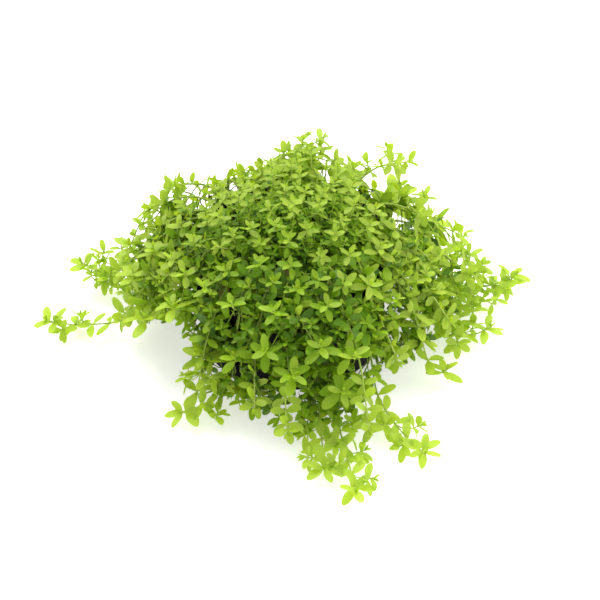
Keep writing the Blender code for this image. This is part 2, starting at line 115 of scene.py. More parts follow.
class Tree:
    """A node tree to which nodes are added one call at a time."""

    def __init__(self, tree):
        self.tree = tree

    def add(self, kind, settings=None, sockets=None, output=0):
        """A new node: its settings are set first, then its sockets get their values or links."""
        node = self.tree.nodes.new(kind)
        for name, value in (settings or {}).items():
            if name == "stops":
                self.set_stops(node.color_ramp, value)
            else:
                setattr(node, name, value)
        for name, value in (sockets or {}).items():
            for one in value if isinstance(value, list) else [value]:
                self.fill(self.socket(node.inputs, name), one)
        return Field(self, self.socket(node.outputs, output)) if node.outputs else None

    @staticmethod
    def socket(sockets, name):
        """The socket with that name or number that the node's settings have left in use."""
        used = [socket for socket in sockets if socket.enabled]
        return used[name] if isinstance(name, int) else next(socket for socket in used if socket.name == name)

    def fill(self, socket, value):
        """Links a field into the socket, or sets it to a plain value."""
        if isinstance(value, Field):
            self.tree.links.new(value.socket, socket)
        else:
            socket.default_value = value

    @staticmethod
    def set_stops(ramp, stops):
        """Puts a ramp's stops in place, as (place, colour) pairs."""
        while len(ramp.elements) < len(stops):
            ramp.elements.new(1.0)
        for element, (place, colour) in zip(ramp.elements, stops):
            element.position = place
            element.color = (*colour, 1.0)

    def math(self, operation, *values):
        """A Math node."""
        return self.add("ShaderNodeMath", {"operation": operation}, dict(enumerate(values)))

    def vector(self, operation, *values, output=0):
        """A Vector Math node."""
        return self.add("ShaderNodeVectorMath", {"operation": operation}, dict(enumerate(values)), output)

    def at_least(self, value, least):
        """The value, or the least where the value is below it."""
        return self.math("MAXIMUM", value, least)

    def part(self, vector, axis):
        """One coordinate of a vector."""
        return self.add("ShaderNodeSeparateXYZ", None, {0: vector}, axis)


# %% [markdown]
# ## Where the main shoots run
#
# The main shoots are already in the solids, so their detailed versions have to run along the same lines. A
# line is a smooth curve through three to six points: where the stem leaves the wool, what it passes, and
# where its tip is. Four kinds of shoot make the plant. Some trail over the rim and lie on the table, some
# hang beside the pot, some lean outwards over it, and the rest stand up in the middle as a dome.
#
# The tips are plain lists, as (degrees round from +X, distance from the axis, height). The course between
# root and tip has a little seeded chance in it. The solids were drawn again and again until no stem touched
# another, so a later cell finds the draw that each solid ended with.

# %% Sizes of the pot and the courses of the stems
POT_HEIGHT = 0.028
POT_BASE_RADIUS = 0.0234
POT_TOP_RADIUS = 0.0256
POT_WALL = 0.0010
PLUG_EDGE_HEIGHT = 0.0245
PLUG_DOME = 0.0018
STEM_START_GAP = 0.0009
STEM_TRIES = 90
STEM_ASIDE = 15.0
SAMPLES_PER_SPAN = 24
SEED = 7
GOLDEN_ANGLE = 137.508

TRAILING_TIPS = (
    (181, 0.0645, 0.0045), (161, 0.0600, 0.0080), (233, 0.0465, 0.0045), (278, 0.0590, 0.0045),
    (283.5, 0.0680, 0.0045), (302, 0.0625, 0.0050), (332, 0.0455, 0.0055), (353, 0.0525, 0.0070),
    (13, 0.0620, 0.0085),
)
HANGING_TIPS = (
    (190, 0.0450, 0.0100), (173, 0.0460, 0.0150), (244, 0.0370, 0.0110), (258, 0.0430, 0.0100),
    (269, 0.0480, 0.0070), (292, 0.0520, 0.0080), (314, 0.0390, 0.0130), (343, 0.0430, 0.0130),
    (4, 0.0490, 0.0150), (25, 0.0510, 0.0150), (52, 0.0470, 0.0120), (82, 0.0430, 0.0140),
    (107, 0.0460, 0.0100), (130, 0.0440, 0.0130),
)
LEANING_TIPS = (
    (149, 0.0455, 0.0220), (140, 0.0410, 0.0290), (166, 0.0360, 0.0280), (186, 0.0340, 0.0260),
    (207, 0.0325, 0.0255), (229, 0.0325, 0.0265), (250, 0.0310, 0.0270), (273, 0.0330, 0.0300),
    (292, 0.0330, 0.0270), (313, 0.0320, 0.0280), (334, 0.0330, 0.0270), (355, 0.0350, 0.0270),
    (17, 0.0390, 0.0290), (34, 0.0380, 0.0400), (60, 0.0330, 0.0330), (78, 0.0260, 0.0400),
    (92, 0.0300, 0.0320), (116, 0.0320, 0.0310),
)
DOME_COUNT = 12
DOME_REACH = 0.0235
DOME_TOP = 0.0500
DOME_FALL = 0.0140


# %% A smooth stem, read from its tip
class Stem:
    """The smooth centre line through a few points, read by the distance back from its tip."""

    def __init__(self, points):
        ends = [2 * points[0] - points[1], *points, 2 * points[-1] - points[-2]]
        line = [points[0]]
        for a, b, c, d in zip(ends, ends[1:], ends[2:], ends[3:]):
            for step in range(1, SAMPLES_PER_SPAN + 1):
                line.append(self.between(a, b, c, d, step / SAMPLES_PER_SPAN))
        self.line = line[::-1]
        self.reached = [0.0]
        for before, after in zip(self.line, self.line[1:]):
            self.reached.append(self.reached[-1] + (after - before).length)
        self.length = self.reached[-1]

    @staticmethod
    def between(a, b, c, d, share):
        """A point on the Catmull-Rom curve from b to c."""
        bend = (2 * a - 5 * b + 4 * c - d) * share**2 + (3 * b - a - 3 * c + d) * share**3
        return 0.5 * (2 * b + (c - a) * share + bend)

    def at(self, back):
        """The point that far back from the tip, and the direction of growth there."""
        back = min(max(back, 0.0), self.length)
        after = next(i for i in range(1, len(self.line)) if self.reached[i] >= back - 1e-12)
        span = self.reached[after] - self.reached[after - 1]
        point = self.line[after - 1].lerp(self.line[after], (back - self.reached[after - 1]) / span)
        return point, (self.line[after - 1] - self.line[after]).normalized()


def plug_height(radius):
    """How high the top of the wool is, that far from the axis."""
    share = radius / (POT_TOP_RADIUS - POT_WALL)
    return PLUG_EDGE_HEIGHT + PLUG_DOME * (1 - share * share)


def round_to(degrees, radius, height):
    """The point at that angle, distance from the axis and height."""
    angle = math.radians(degrees)
    return Vector((radius * math.cos(angle), radius * math.sin(angle), height))


def root(degrees, radius):
    """Where a stem comes out of the wool."""
    return round_to(degrees, radius, plug_height(radius) + STEM_START_GAP)


# %% The four kinds of course
# Pairs are the least and the most that is drawn, and a sway is in degrees either way
TRAILING_ROOT = (0.0180, 0.0200)
TRAILING_CREST_RADIUS = 0.0250
TRAILING_CREST_RISE = (0.0040, 0.0060)
TRAILING_FALL_RADIUS = 0.0350
TRAILING_FALL_HEIGHT = 0.0180
TRAILING_TOUCH_RADIUS = 0.0405
TRAILING_TOUCH_HEIGHT = 0.0040
TRAILING_TOUCH_SHARE = 0.70
TRAILING_LYING_PLACE = 0.55
TRAILING_LYING_HEIGHT = 0.0020
TRAILING_LYING_SHARE = 0.35
TRAILING_SWAY = 3.0
HANGING_ROOT = (0.0140, 0.0165)
HANGING_CREST_RADIUS = 0.0230
HANGING_CREST_RISE = (0.0060, 0.0090)
HANGING_BEND_FROM = 0.0270
HANGING_BEND_PLACE = 0.45
HANGING_BEND_SHARE = 0.55
HANGING_SWAY = 3.0
LEANING_ROOT = (0.0095, 0.0125)
LEANING_FOOT_RADIUS = 0.0140
LEANING_FOOT_RISE = 0.0010
LEANING_BEND_FROM = 0.0110
LEANING_RIM_RISE = 0.0040
LEANING_BEND_RISE = (0.0020, 0.0045)
LEANING_SWAY = 4.0
DOME_ROOT = 0.0015
DOME_ROOT_SPREAD = 0.0075
DOME_INNER_REACH = 0.0025
DOME_BEND_PLACE = 0.30
DOME_HEIGHT_PLAY = 0.0025
DOME_SWAY = 6.0


def trailing_points(degrees, reach, height, draw):
    """Over the rim, down to the table and along it, with the tip turned up a little."""
    lying = TRAILING_TOUCH_RADIUS + TRAILING_LYING_PLACE * (reach - TRAILING_TOUCH_RADIUS)
    touching = TRAILING_TOUCH_HEIGHT + TRAILING_TOUCH_SHARE * height
    sway = draw.uniform(-TRAILING_SWAY, TRAILING_SWAY)
    return [
        root(degrees, draw.uniform(*TRAILING_ROOT)),
        round_to(degrees, TRAILING_CREST_RADIUS, POT_HEIGHT + draw.uniform(*TRAILING_CREST_RISE)),
        round_to(degrees + sway, TRAILING_FALL_RADIUS, TRAILING_FALL_HEIGHT + height),
        round_to(degrees + sway, TRAILING_TOUCH_RADIUS, touching),
        round_to(degrees + sway / 2, lying, TRAILING_LYING_HEIGHT + TRAILING_LYING_SHARE * height),
        round_to(degrees, reach, height),
    ]


def hanging_points(degrees, reach, height, draw):
    """Over the rim and down beside the pot, with the tip held outwards."""
    crest = POT_HEIGHT + draw.uniform(*HANGING_CREST_RISE)
    bend = HANGING_BEND_FROM + HANGING_BEND_PLACE * (reach - HANGING_BEND_FROM)
    sway = draw.uniform(-HANGING_SWAY, HANGING_SWAY)
    return [
        root(degrees, draw.uniform(*HANGING_ROOT)),
        round_to(degrees, HANGING_CREST_RADIUS, crest),
        round_to(degrees + sway, bend, height + HANGING_BEND_SHARE * (crest - height)),
        round_to(degrees, reach, height),
    ]


def leaning_points(degrees, reach, height, draw):
    """Up out of the wool and outwards."""
    top = max(height, POT_HEIGHT + LEANING_RIM_RISE) + draw.uniform(*LEANING_BEND_RISE)
    sway = draw.uniform(-LEANING_SWAY, LEANING_SWAY)
    return [
        root(degrees, draw.uniform(*LEANING_ROOT)),
        round_to(degrees, LEANING_FOOT_RADIUS, (top + PLUG_EDGE_HEIGHT) / 2 + LEANING_FOOT_RISE),
        round_to(degrees + sway, (LEANING_BEND_FROM + reach) / 2, top),
        round_to(degrees, reach, height),
    ]


def dome_points(degrees, share, draw):
    """Up from the middle of the wool: share is 0 on the axis and 1 at the edge of the dome."""
    start = DOME_ROOT + DOME_ROOT_SPREAD * share
    reach = DOME_INNER_REACH + (DOME_REACH - DOME_INNER_REACH) * share
    height = DOME_TOP - DOME_FALL * share**2 + draw.uniform(-DOME_HEIGHT_PLAY, DOME_HEIGHT_PLAY)
    bend = start + DOME_BEND_PLACE * (reach - start)
    return [
        root(degrees, start),
        round_to(degrees, bend, (PLUG_EDGE_HEIGHT + height) / 2),
        round_to(degrees + draw.uniform(-DOME_SWAY, DOME_SWAY), reach, height),
    ]


def planned_shoots():
    """Every main shoot, as (name of its solid, what draws its course, its place)."""
    plans = []
    groups = (
        ("trailing_shoot", TRAILING_TIPS, trailing_points),
        ("hanging_shoot", HANGING_TIPS, hanging_points),
        ("leaning_shoot", LEANING_TIPS, leaning_points),
    )
    for group, tips, points_for in groups:
        plans += [(f"{group}_{number:02d}", points_for, place) for number, place in enumerate(tips, 1)]
    for number in range(1, DOME_COUNT + 1):
        place = (number * GOLDEN_ANGLE, math.sqrt((number - 0.5) / DOME_COUNT))
        plans.append((f"upright_shoot_{number:02d}", dome_points, place))
    return plans


# %% [markdown]
# ## Finding each solid's own draw
#
# A solid's skin has a corner exactly at the tip of its stem. So the draw that it was built from is the first
# one whose tip lies on a corner of that solid. This keeps the detailed shoot on its solid without any
# measuring by hand.

# %% Match the courses with the solids
MATCH_DISTANCE = 0.00002


def matching_stem(name, points_for, place, seed):
    """The stem whose tip is a corner of the named solid."""
    degrees, *rest = place
    corners = [vertex.co for vertex in nodes[name].data.vertices]
    for attempt in range(STEM_TRIES):
        draw = random.Random(seed * STEM_TRIES + attempt)
        aside = draw.uniform(-1.0, 1.0) * STEM_ASIDE * attempt / STEM_TRIES
        stem = Stem(points_for(degrees + aside, *rest, draw))
        if min((corner - stem.line[0]).length for corner in corners) < MATCH_DISTANCE:
            return stem
    raise ValueError(f"no draw of {name} ends on its solid")


main_stems = {}
plans = planned_shoots()
for seed, (name, points_for, place) in enumerate(plans, SEED * len(plans)):
    main_stems[name] = matching_stem(name, points_for, place, seed)
print("main shoots:", len(main_stems), "all on their solids")

# %% [markdown]
# ## The mound between the main shoots
#
# The real mound has several hundred tips, spaced about one leaf apart. They are not placed one by one. The
# mound's surface is a set of rings: the top of the dome, its edge, its shoulder and its fringe. Points are
# thrown at that surface at random, and one is kept only if it is far enough from those kept before, which
# gives the even but irregular spacing of a plant that fills its light.
#
# This is done three times. A few vigorous tips stand out of the mound as clear stars. The main layer closes
# it. A deeper layer of leaves, given extra age that paints them darker as painted shade, shows in the gaps.
# The peaks of the outline are too few and too clear to be left to chance, so their tips are given one by one.

# %% The surface of the mound
MOUND_TOP = 0.0465
MOUND_FALL = 0.0110
BACK_DROP = 0.0050
# How far tips lean outwards in degrees: at the top, and more for each level down, most of all in front
TOP_SLOPE = 10.0
LEVEL_SLOPE = 12.0
FRONT_SLOPE = 14.0
# Rings of the mound, as (degrees, distance from the axis, height)
SHOULDER = (
    (17, 0.0370, 0.0270), (34, 0.0330, 0.0270), (60, 0.0310, 0.0275), (78, 0.0300, 0.0280),
    (92, 0.0300, 0.0270), (116, 0.0310, 0.0245), (140, 0.0360, 0.0225), (149, 0.0390, 0.0200),
    (166, 0.0370, 0.0240), (186, 0.0360, 0.0265), (207, 0.0350, 0.0280), (229, 0.0350, 0.0290),
    (250, 0.0345, 0.0300), (273, 0.0360, 0.0320), (292, 0.0360, 0.0300), (313, 0.0350, 0.0300),
    (334, 0.0350, 0.0290), (355, 0.0370, 0.0280),
)
FRINGE = (
    (5, 0.0500, 0.0060), (25, 0.0490, 0.0130), (52, 0.0430, 0.0110), (82, 0.0390, 0.0120),
    (107, 0.0400, 0.0100), (130, 0.0420, 0.0120), (160, 0.0460, 0.0140), (180, 0.0450, 0.0110),
    (200, 0.0390, 0.0155), (217, 0.0345, 0.0175), (232, 0.0355, 0.0125), (245, 0.0400, 0.0085),
    (260, 0.0450, 0.0090), (275, 0.0460, 0.0050), (290, 0.0460, 0.0050), (303, 0.0440, 0.0070),
    (316, 0.0370, 0.0100), (326, 0.0350, 0.0100), (338, 0.0390, 0.0080), (350, 0.0460, 0.0070),
)


def ring_at(tips, degrees):
    """The reach and height of a ring of tips at that angle, read between its two nearest tips."""
    ring = sorted(tips)
    ring = [(ring[-1][0] - 360, *ring[-1][1:]), *ring, (ring[0][0] + 360, *ring[0][1:])]
    degrees %= 360
    before, after = next(pair for pair in zip(ring, ring[1:]) if pair[0][0] <= degrees <= pair[1][0])
    share = (degrees - before[0]) / max(after[0] - before[0], 1e-9)
    return tuple(a + (b - a) * share for a, b in zip(before[1:], after[1:]))


def behind(degrees):
    """How far that side faces the back: 0 at the front and the sides, and 1 straight behind."""
    return max(0.0, math.sin(math.radians(degrees)))


def mound_at(degrees, level):
    """A point on the mound: level 0 is its top, 1 the dome's edge, 2 the shoulder and 3 the fringe."""
    edge = MOUND_TOP - MOUND_FALL - BACK_DROP * behind(degrees)
    if level <= 1:
        return round_to(degrees, DOME_REACH * level, MOUND_TOP + (edge - MOUND_TOP) * level**2)
    inner = (DOME_REACH, edge) if level <= 2 else ring_at(SHOULDER, degrees)
    outer = ring_at(SHOULDER if level <= 2 else FRINGE, degrees)
    share = level - math.ceil(level) + 1
    reach, height = (a + (b - a) * share for a, b in zip(inner, outer))
    return round_to(degrees, reach, height)


def facing_at(degrees, level):
    """The direction that tips face there: up at the top, and outwards at the fringe, most of all in front."""
    angle = math.radians(degrees)
    in_front = max(0.0, -math.sin(angle))
    slope = math.radians(TOP_SLOPE + (LEVEL_SLOPE + FRONT_SLOPE * in_front) * level)
    return Vector((math.cos(angle) * math.sin(slope), math.sin(angle) * math.sin(slope), math.cos(slope)))


# %% The outline of the mound
# A plant is never as round as its rings, so its outline is kept too, as it shows from 39 degrees above the
# front: (across, up the view) in millimetres. Tips stay between the upper line and the lower one.
VIEW_ELEVATION = math.radians(39.0)
UPPER_LINE = (
    (-60.0, 14.0), (-47.1, 22.6), (-40.6, 30.4), (-36.7, 32.5), (-34.1, 37.7), (-28.9, 39.0),
    (-26.3, 34.3), (-22.4, 31.7), (-20.5, 38.2), (-17.2, 40.0), (-12.0, 41.6), (-7.5, 43.4), (-4.2, 47.3),
    (3.1, 50.4), (5.5, 47.3), (12.7, 44.7), (17.4, 42.9), (20.0, 37.7), (23.7, 36.4), (27.0, 40.0),
    (30.9, 44.7), (33.5, 39.5), (36.1, 33.0), (39.3, 27.0), (42.6, 23.9), (46.5, 22.1), (51.0, 19.5),
    (60.0, 12.0),
)
LOWER_LINE = (
    (-60.0, 12.0), (-46.3, 8.3), (-41.9, 3.1), (-36.7, 1.8), (-32.8, 2.6), (-27.6, 0.5), (-25.0, -3.9),
    (-22.9, -12.0), (-17.2, -17.7), (-13.3, -18.2), (-8.1, -21.1), (-4.2, -22.9), (-0.3, -25.5),
    (2.3, -28.1), (19.5, -27.0), (21.5, -12.0), (27.5, -6.0), (32.2, -3.9), (38.7, -3.4), (42.6, -2.1),
    (50.4, 0.0), (53.6, 3.1), (60.0, 8.0),
)
LOWER_MARGIN = 2.2


def seen_at(point):
    """Where a point shows from the front, as (across, up the view) in millimetres."""
    up = point.y * math.sin(VIEW_ELEVATION) + point.z * math.cos(VIEW_ELEVATION)
    return 1000 * point.x, 1000 * up


def line_at(line, across):
    """The height of a line there."""
    before, after = next(pair for pair in zip(line, line[1:]) if pair[0][0] <= across <= pair[1][0])
    return before[1] + (after[1] - before[1]) * (across - before[0]) / (after[0] - before[0])


# The middle of the mound in the same view, and half its width and height, also in millimetres
MOUND_MIDDLE = (-3.0, 1.0)
MOUND_HALF = (43.0, 54.0)


def out_from_middle(point):
    """How near a place is to the outline: 0 in the middle of the mound and 1 on its outline."""
    seen = zip(seen_at(point), MOUND_MIDDLE, MOUND_HALF)
    return min(1.0, sum(((place - middle) / half) ** 2 for place, middle, half in seen))


def within_outline(point, upper_margin):
    """Whether a tip there keeps its leaves inside the outline."""
    across, up = seen_at(point)
    lowest = line_at(LOWER_LINE, across) + LOWER_MARGIN
    return lowest < up < line_at(UPPER_LINE, across) - upper_margin


# %% Throw the tips of the side shoots
# A layer of tips: their spacing, how much wider that is at the back, how far above the mound they stand, how
# much more of that at the back, how far below the outline's upper line they end in millimetres, the size of
# their leaves, and how many whorls of age they are given beyond a fresh tip, which in the deep layer is
# mostly painted shade
Layer = namedtuple("Layer", "spacing wider above further margin size older")
LAYERS = {
    "star": Layer(0.0092, -0.35, 0.0036, 0.0070, 1.8, 1.22, 0.7),
    "main": Layer(0.0041, 0.30, 0.0000, -0.0050, 8.5, 0.66, 1.9),
    # The deep layer's extra whorls of age paint its leaves darker: painted shade
    "deep": Layer(0.0056, 0.70, -0.0056, -0.0030, 11.5, 0.84, 3.6),
}
# Tips that make the peaks of the outline and hide the foot of the pot, as (across, depth, height)
SPRIGS = (
    (0.0031, 0.0190, 0.0490), (-0.0022, 0.0180, 0.0455), (0.0076, 0.0200, 0.0462),
    (0.0048, 0.0150, 0.0480), (0.0118, 0.0170, 0.0440), (0.0160, 0.0150, 0.0430),
    (-0.0076, 0.0190, 0.0392), (-0.0147, 0.0210, 0.0352), (-0.0198, 0.0230, 0.0318),
    (-0.0290, 0.0240, 0.0285), (-0.0385, 0.0180, 0.0245), (0.0284, 0.0220, 0.0320),
    (0.0346, 0.0190, 0.0315), (0.0437, 0.0140, 0.0170), (0.0465, 0.0135, 0.0165),
    (0.0505, 0.0120, 0.0140), (0.0586, 0.0122, 0.0088), (0.0541, 0.0076, 0.0075),
    (0.0480, 0.0030, 0.0080), (-0.0455, 0.0200, 0.0150), (-0.0500, 0.0215, 0.0110),
    (-0.0535, 0.0170, 0.0080), (-0.0480, 0.0150, 0.0090), (-0.0179, -0.0377, 0.0060),
    (-0.0150, -0.0296, 0.0070), (-0.0118, -0.0328, 0.0070), (-0.0080, -0.0336, 0.0095),
    (-0.0180, -0.0300, 0.0085),
)
UP = Vector((0.0, 0.0, 1.0))
SPRIG_VIGOUR = 0.82
SPRIG_OLDER = 0.2
HEIGHT_PLAY = 0.0022
BACK_LIMIT = 0.0425
THROWS = 9000
FRINGE_LEVEL = 3.0
# Vigour scales the leaves and the spacing. It grows from the top to the fringe, and towards the right side.
TOP_VIGOUR = 0.50
FRINGE_VIGOUR = 1.12
VIGOUR_CURVE = 1.5
RIGHT_FROM = 0.012
RIGHT_TO = 0.034
RIGHT_VIGOUR = 0.38


def thrown_tips(layer, taken, draw):
    """Tips of one layer, clear of those taken, as (point, facing, vigour, whorls of age and painted shade).
    """
    tips = []
    for _ in range(THROWS):
        degrees = draw.uniform(0.0, 360.0)
        level = FRINGE_LEVEL * math.sqrt(draw.random())
        facing = facing_at(degrees, level)
        back = behind(degrees) * min(level, 1.0)
        raised = layer.above + layer.further * back * draw.random() - draw.uniform(0.0, HEIGHT_PLAY)
        point = mound_at(degrees, level) + facing * raised
        vigour = TOP_VIGOUR + (FRINGE_VIGOUR - TOP_VIGOUR) * (level / FRINGE_LEVEL) ** VIGOUR_CURVE
        vigour *= 1 + RIGHT_VIGOUR * min(1.0, max(0.0, (point.x - RIGHT_FROM) / (RIGHT_TO - RIGHT_FROM)))
        clear = layer.spacing * vigour * (1 + layer.wider * back)
        inside = within_outline(point, layer.margin) and point.y < BACK_LIMIT
        if inside and all((point - other).length > clear for other in taken):
            taken.append(point)
            tips.append((point, facing, layer.size * vigour, layer.older))
    return tips


tip_draw = random.Random(SEED)
thrown = [(Vector(place), UP, SPRIG_VIGOUR, SPRIG_OLDER) for place in SPRIGS]
standing = [stem.line[0] for stem in main_stems.values()] + [tip for tip, *_ in thrown]
thrown += thrown_tips(LAYERS["star"], standing, tip_draw)
print("tips of the stars:", len(thrown))
thrown += thrown_tips(LAYERS["main"], [tip for tip, *_ in thrown], tip_draw)
print("with the main layer:", len(thrown))
thrown += thrown_tips(LAYERS["deep"], [], tip_draw)
print("with the deep layer:", len(thrown))

# %% [markdown]
# ## Branching
#
# Each thrown tip has to grow from somewhere. Its side shoot starts on the main stem that reaches it most
# naturally: about a dozen millimetres away, in the direction in which that stem grows, and not from a stem
# that already carries many. The tips then turn towards the light, so that a rosette shows its face.

# %% Give every tip a stem to grow from
BRANCH_FIRST = 0.0040
BRANCH_SPACING = 0.0022
BRANCH_LENGTH = 0.0115
BRANCH_LEAST = 0.0045
BRANCH_MOST = 0.0240
CROWDING = 0.0004
TURN_COST = 0.0070
TO_LIGHT = 0.55
WANDER = 0.22
# How far a side shoot keeps its first direction and its last one, as shares of the way to its tip
FOOT_SHARE = 0.30
HEAD_SHARE = 0.36


def branch_places(stem):
    """Where side shoots may leave a stem, as (point, growth)."""
    count = int(stem.length / BRANCH_SPACING)
    return [stem.at(BRANCH_FIRST + BRANCH_SPACING * number) for number in range(count)]


places = {name: branch_places(stem) for name, stem in main_stems.items()}
side_stems = {name: [] for name in main_stems}


def add_side_shoot(tip, facing, vigour, older, draw):
    """Grows a side shoot to the tip from the main stem that suits it best."""
    best = None
    for name, choices in places.items():
        for point, growth in choices:
            reach = tip - point
            if not BRANCH_LEAST < reach.length < BRANCH_MOST:
                continue
            turn = 1 - reach.normalized().dot(growth)
            cost = abs(reach.length - BRANCH_LENGTH) + TURN_COST * turn + CROWDING * len(side_stems[name])
            if best is None or cost < best[0]:
                best = (cost, name, point, growth, reach.length)
    if best is None:
        return False
    _, name, start, growth, length = best
    wander = Vector([draw.gauss(0.0, WANDER) for _ in range(3)])
    end = (facing + UP * TO_LIGHT + wander).normalized()
    first = start + (growth + (tip - start).normalized()).normalized() * (length * FOOT_SHARE)
    second = tip - end * (length * HEAD_SHARE)
    side_stems[name].append((Stem([start, first, second, tip]), vigour, older))
    return True


# Where a main stem shows bare, short side shoots stand behind its tip: how many of them
COMPANIONS = {
    "trailing_shoot_01": 2,
    "trailing_shoot_02": 8,
    "trailing_shoot_03": 3,
    "trailing_shoot_04": 3,
    "trailing_shoot_05": 3,
    "trailing_shoot_06": 3,
    "trailing_shoot_08": 4,
    "trailing_shoot_09": 5,
    "hanging_shoot_09": 3,
    "leaning_shoot_01": 3,
    "leaning_shoot_02": 1,
    "leaning_shoot_13": 2,
    "leaning_shoot_14": 3,
    "leaning_shoot_16": 2,
}
COMPANION_FIRST = 0.0085
COMPANION_SPACING = 0.0042
COMPANION_PLAY = 0.0015
COMPANION_REACH = 0.0062
COMPANION_RAISED = (0.15, 0.45)
COMPANION_ONWARDS = (0.7, 1.1)
COMPANION_SIZE = (0.8, 1.2)
COMPANION_VIGOUR = 0.95


def add_companions(name, draw):
    """Short side shoots left and right of a main stem, behind its tip."""
    stem = main_stems[name]
    side = draw.choice((-1.0, 1.0))
    for number in range(COMPANIONS[name]):
        behind_tip = COMPANION_FIRST + COMPANION_SPACING * number + draw.uniform(0.0, COMPANION_PLAY)
        start, growth = stem.at(behind_tip)
        sideways = side * growth.cross(UP).normalized()
        raised = UP * draw.uniform(*COMPANION_RAISED)
        way = (growth * draw.uniform(*COMPANION_ONWARDS) + sideways + raised).normalized()
        tip = start + way * COMPANION_REACH * draw.uniform(*COMPANION_SIZE)
        middle = start + (growth + way).normalized() * COMPANION_REACH * 0.5
        side_stems[name].append((Stem([start, middle, tip]), COMPANION_VIGOUR, 0.0))
        side = -side


lost = 0
for place in thrown:
    lost += not add_side_shoot(*place, tip_draw)
for name in COMPANIONS:
    add_companions(name, tip_draw)
print("side shoots with no stem near them:", lost)
print("most on one stem:", max(len(stems) for stems in side_stems.values()))

# %% [markdown]
# ## Whorls
#
# A whorl is a ring of three leaves at one node of the stem, turned sixty degrees from the last one. At the
# tip the whorls are tight, small and upright, and further down they are wider apart, larger and flat. Here
# each node becomes one point of a poly-line with the numbers that its leaves need, stored as attributes. The
# leaves themselves come later, from Geometry Nodes.

# %% Nodes along a stem
# The whorls of a stem from its tip down, each as (gap before it, length of its leaves, their rise in
# degrees). The last row holds for all that follow.
SHOOT_WHORLS = (
    (0.0005, 0.0019, 62.0),
    (0.0009, 0.0040, 26.0),
    (0.0011, 0.0046, 8.0),
    (0.0030, 0.0042, 8.0),
    (0.0034, 0.0040, 4.0),
    (0.0036, 0.0038, 0.0),
)
TRAILING_WHORLS = (
    (0.0004, 0.0015, 64.0),
    (0.0008, 0.0038, 24.0),
    (0.0009, 0.0046, 6.0),
    (0.0052, 0.0042, 8.0),
    (0.0046, 0.0041, 8.0),
    (0.0042, 0.0039, 6.0),
)
GAP_PLAY = (0.86, 1.16)
BARE_FOOT = 0.0020

# How a kind of stem grows: its whorls, its radius at the tip and at the root, the size of its leaves, how
# many whorls of age and painted shade it starts with beyond a fresh tip, how fast it ages, how far its whorls
# turn to the light, and how many of its whorls may stand outside the outline of the mound
Habit = namedtuple("Habit", "whorls radii vigour older pace turned free")
MAIN_RADII = (0.00017, 0.00030)
EVERY_WHORL = 99
HABITS = {
    "trailing_shoot": Habit(TRAILING_WHORLS, MAIN_RADII, 1.22, 0.0, 0.25, 0.66, EVERY_WHORL),
    "hanging_shoot": Habit(SHOOT_WHORLS, MAIN_RADII, 1.04, 0.0, 0.40, 0.40, EVERY_WHORL),
    "leaning_shoot": Habit(SHOOT_WHORLS, MAIN_RADII, 0.86, 0.4, 0.40, 0.25, EVERY_WHORL),
    "upright_shoot": Habit(SHOOT_WHORLS, MAIN_RADII, 0.62, 0.6, 0.50, 0.10, EVERY_WHORL),
}
SIDE_RADII = (0.00012, 0.00019)
SIDE_PACE = 1.0
SIDE_TURNED = 0.12
SIDE_FREE = 3


def whorls_of(stem, habit, draw):
    """The whorls of a stem as {how far back from the tip: (number, length of its leaves, their rise)}."""
    whorls = {}
    back = 0.0
    while True:
        gap, length, rise = habit.whorls[min(len(whorls), len(habit.whorls) - 1)]
        back += (1 + habit.vigour) / 2 * gap * draw.uniform(*GAP_PLAY)
        if back > stem.length - BARE_FOOT:
            return whorls
        whorls[back] = (len(whorls), habit.vigour * length, math.radians(rise))


# %% How old a leaf is, with painted light at the outline
# A leaf ages with every whorl that has grown past it. Near the outline, as it shows from the front, a leaf is
# painted paler: painted light, for the light that comes through the leaves there.
WHORL_GAP = 0.0036
OLD_AFTER = 5.0
LEAST_AGE = 0.02
# How much paler the leaves are painted towards the outline: painted light
PAINTED_OUTLINE_LIGHT = 0.70


def age_with_painted_light(point, back, habit):
    """How old a leaf is, that far back from its tip, with painted light near the outline: 0 for fresh, 1 for
    old.
    """
    grown_past = (back / WHORL_GAP * habit.pace + habit.older) / OLD_AFTER
    return min(1.0, max(0.0, grown_past + LEAST_AGE - PAINTED_OUTLINE_LIGHT * out_from_middle(point)))


# %% The poly-line of one shoot
LINE_STEP = 0.0014
CLEAR_OF_WHORL = 0.0004
# How far below the outline's upper line a whorl has to be, in millimetres
WHORL_MARGIN = 1.5
TAPER_CURVE = 0.7
NODE_SWELLING = 1.22
ROOTWARD_FULL_AT = 0.0300


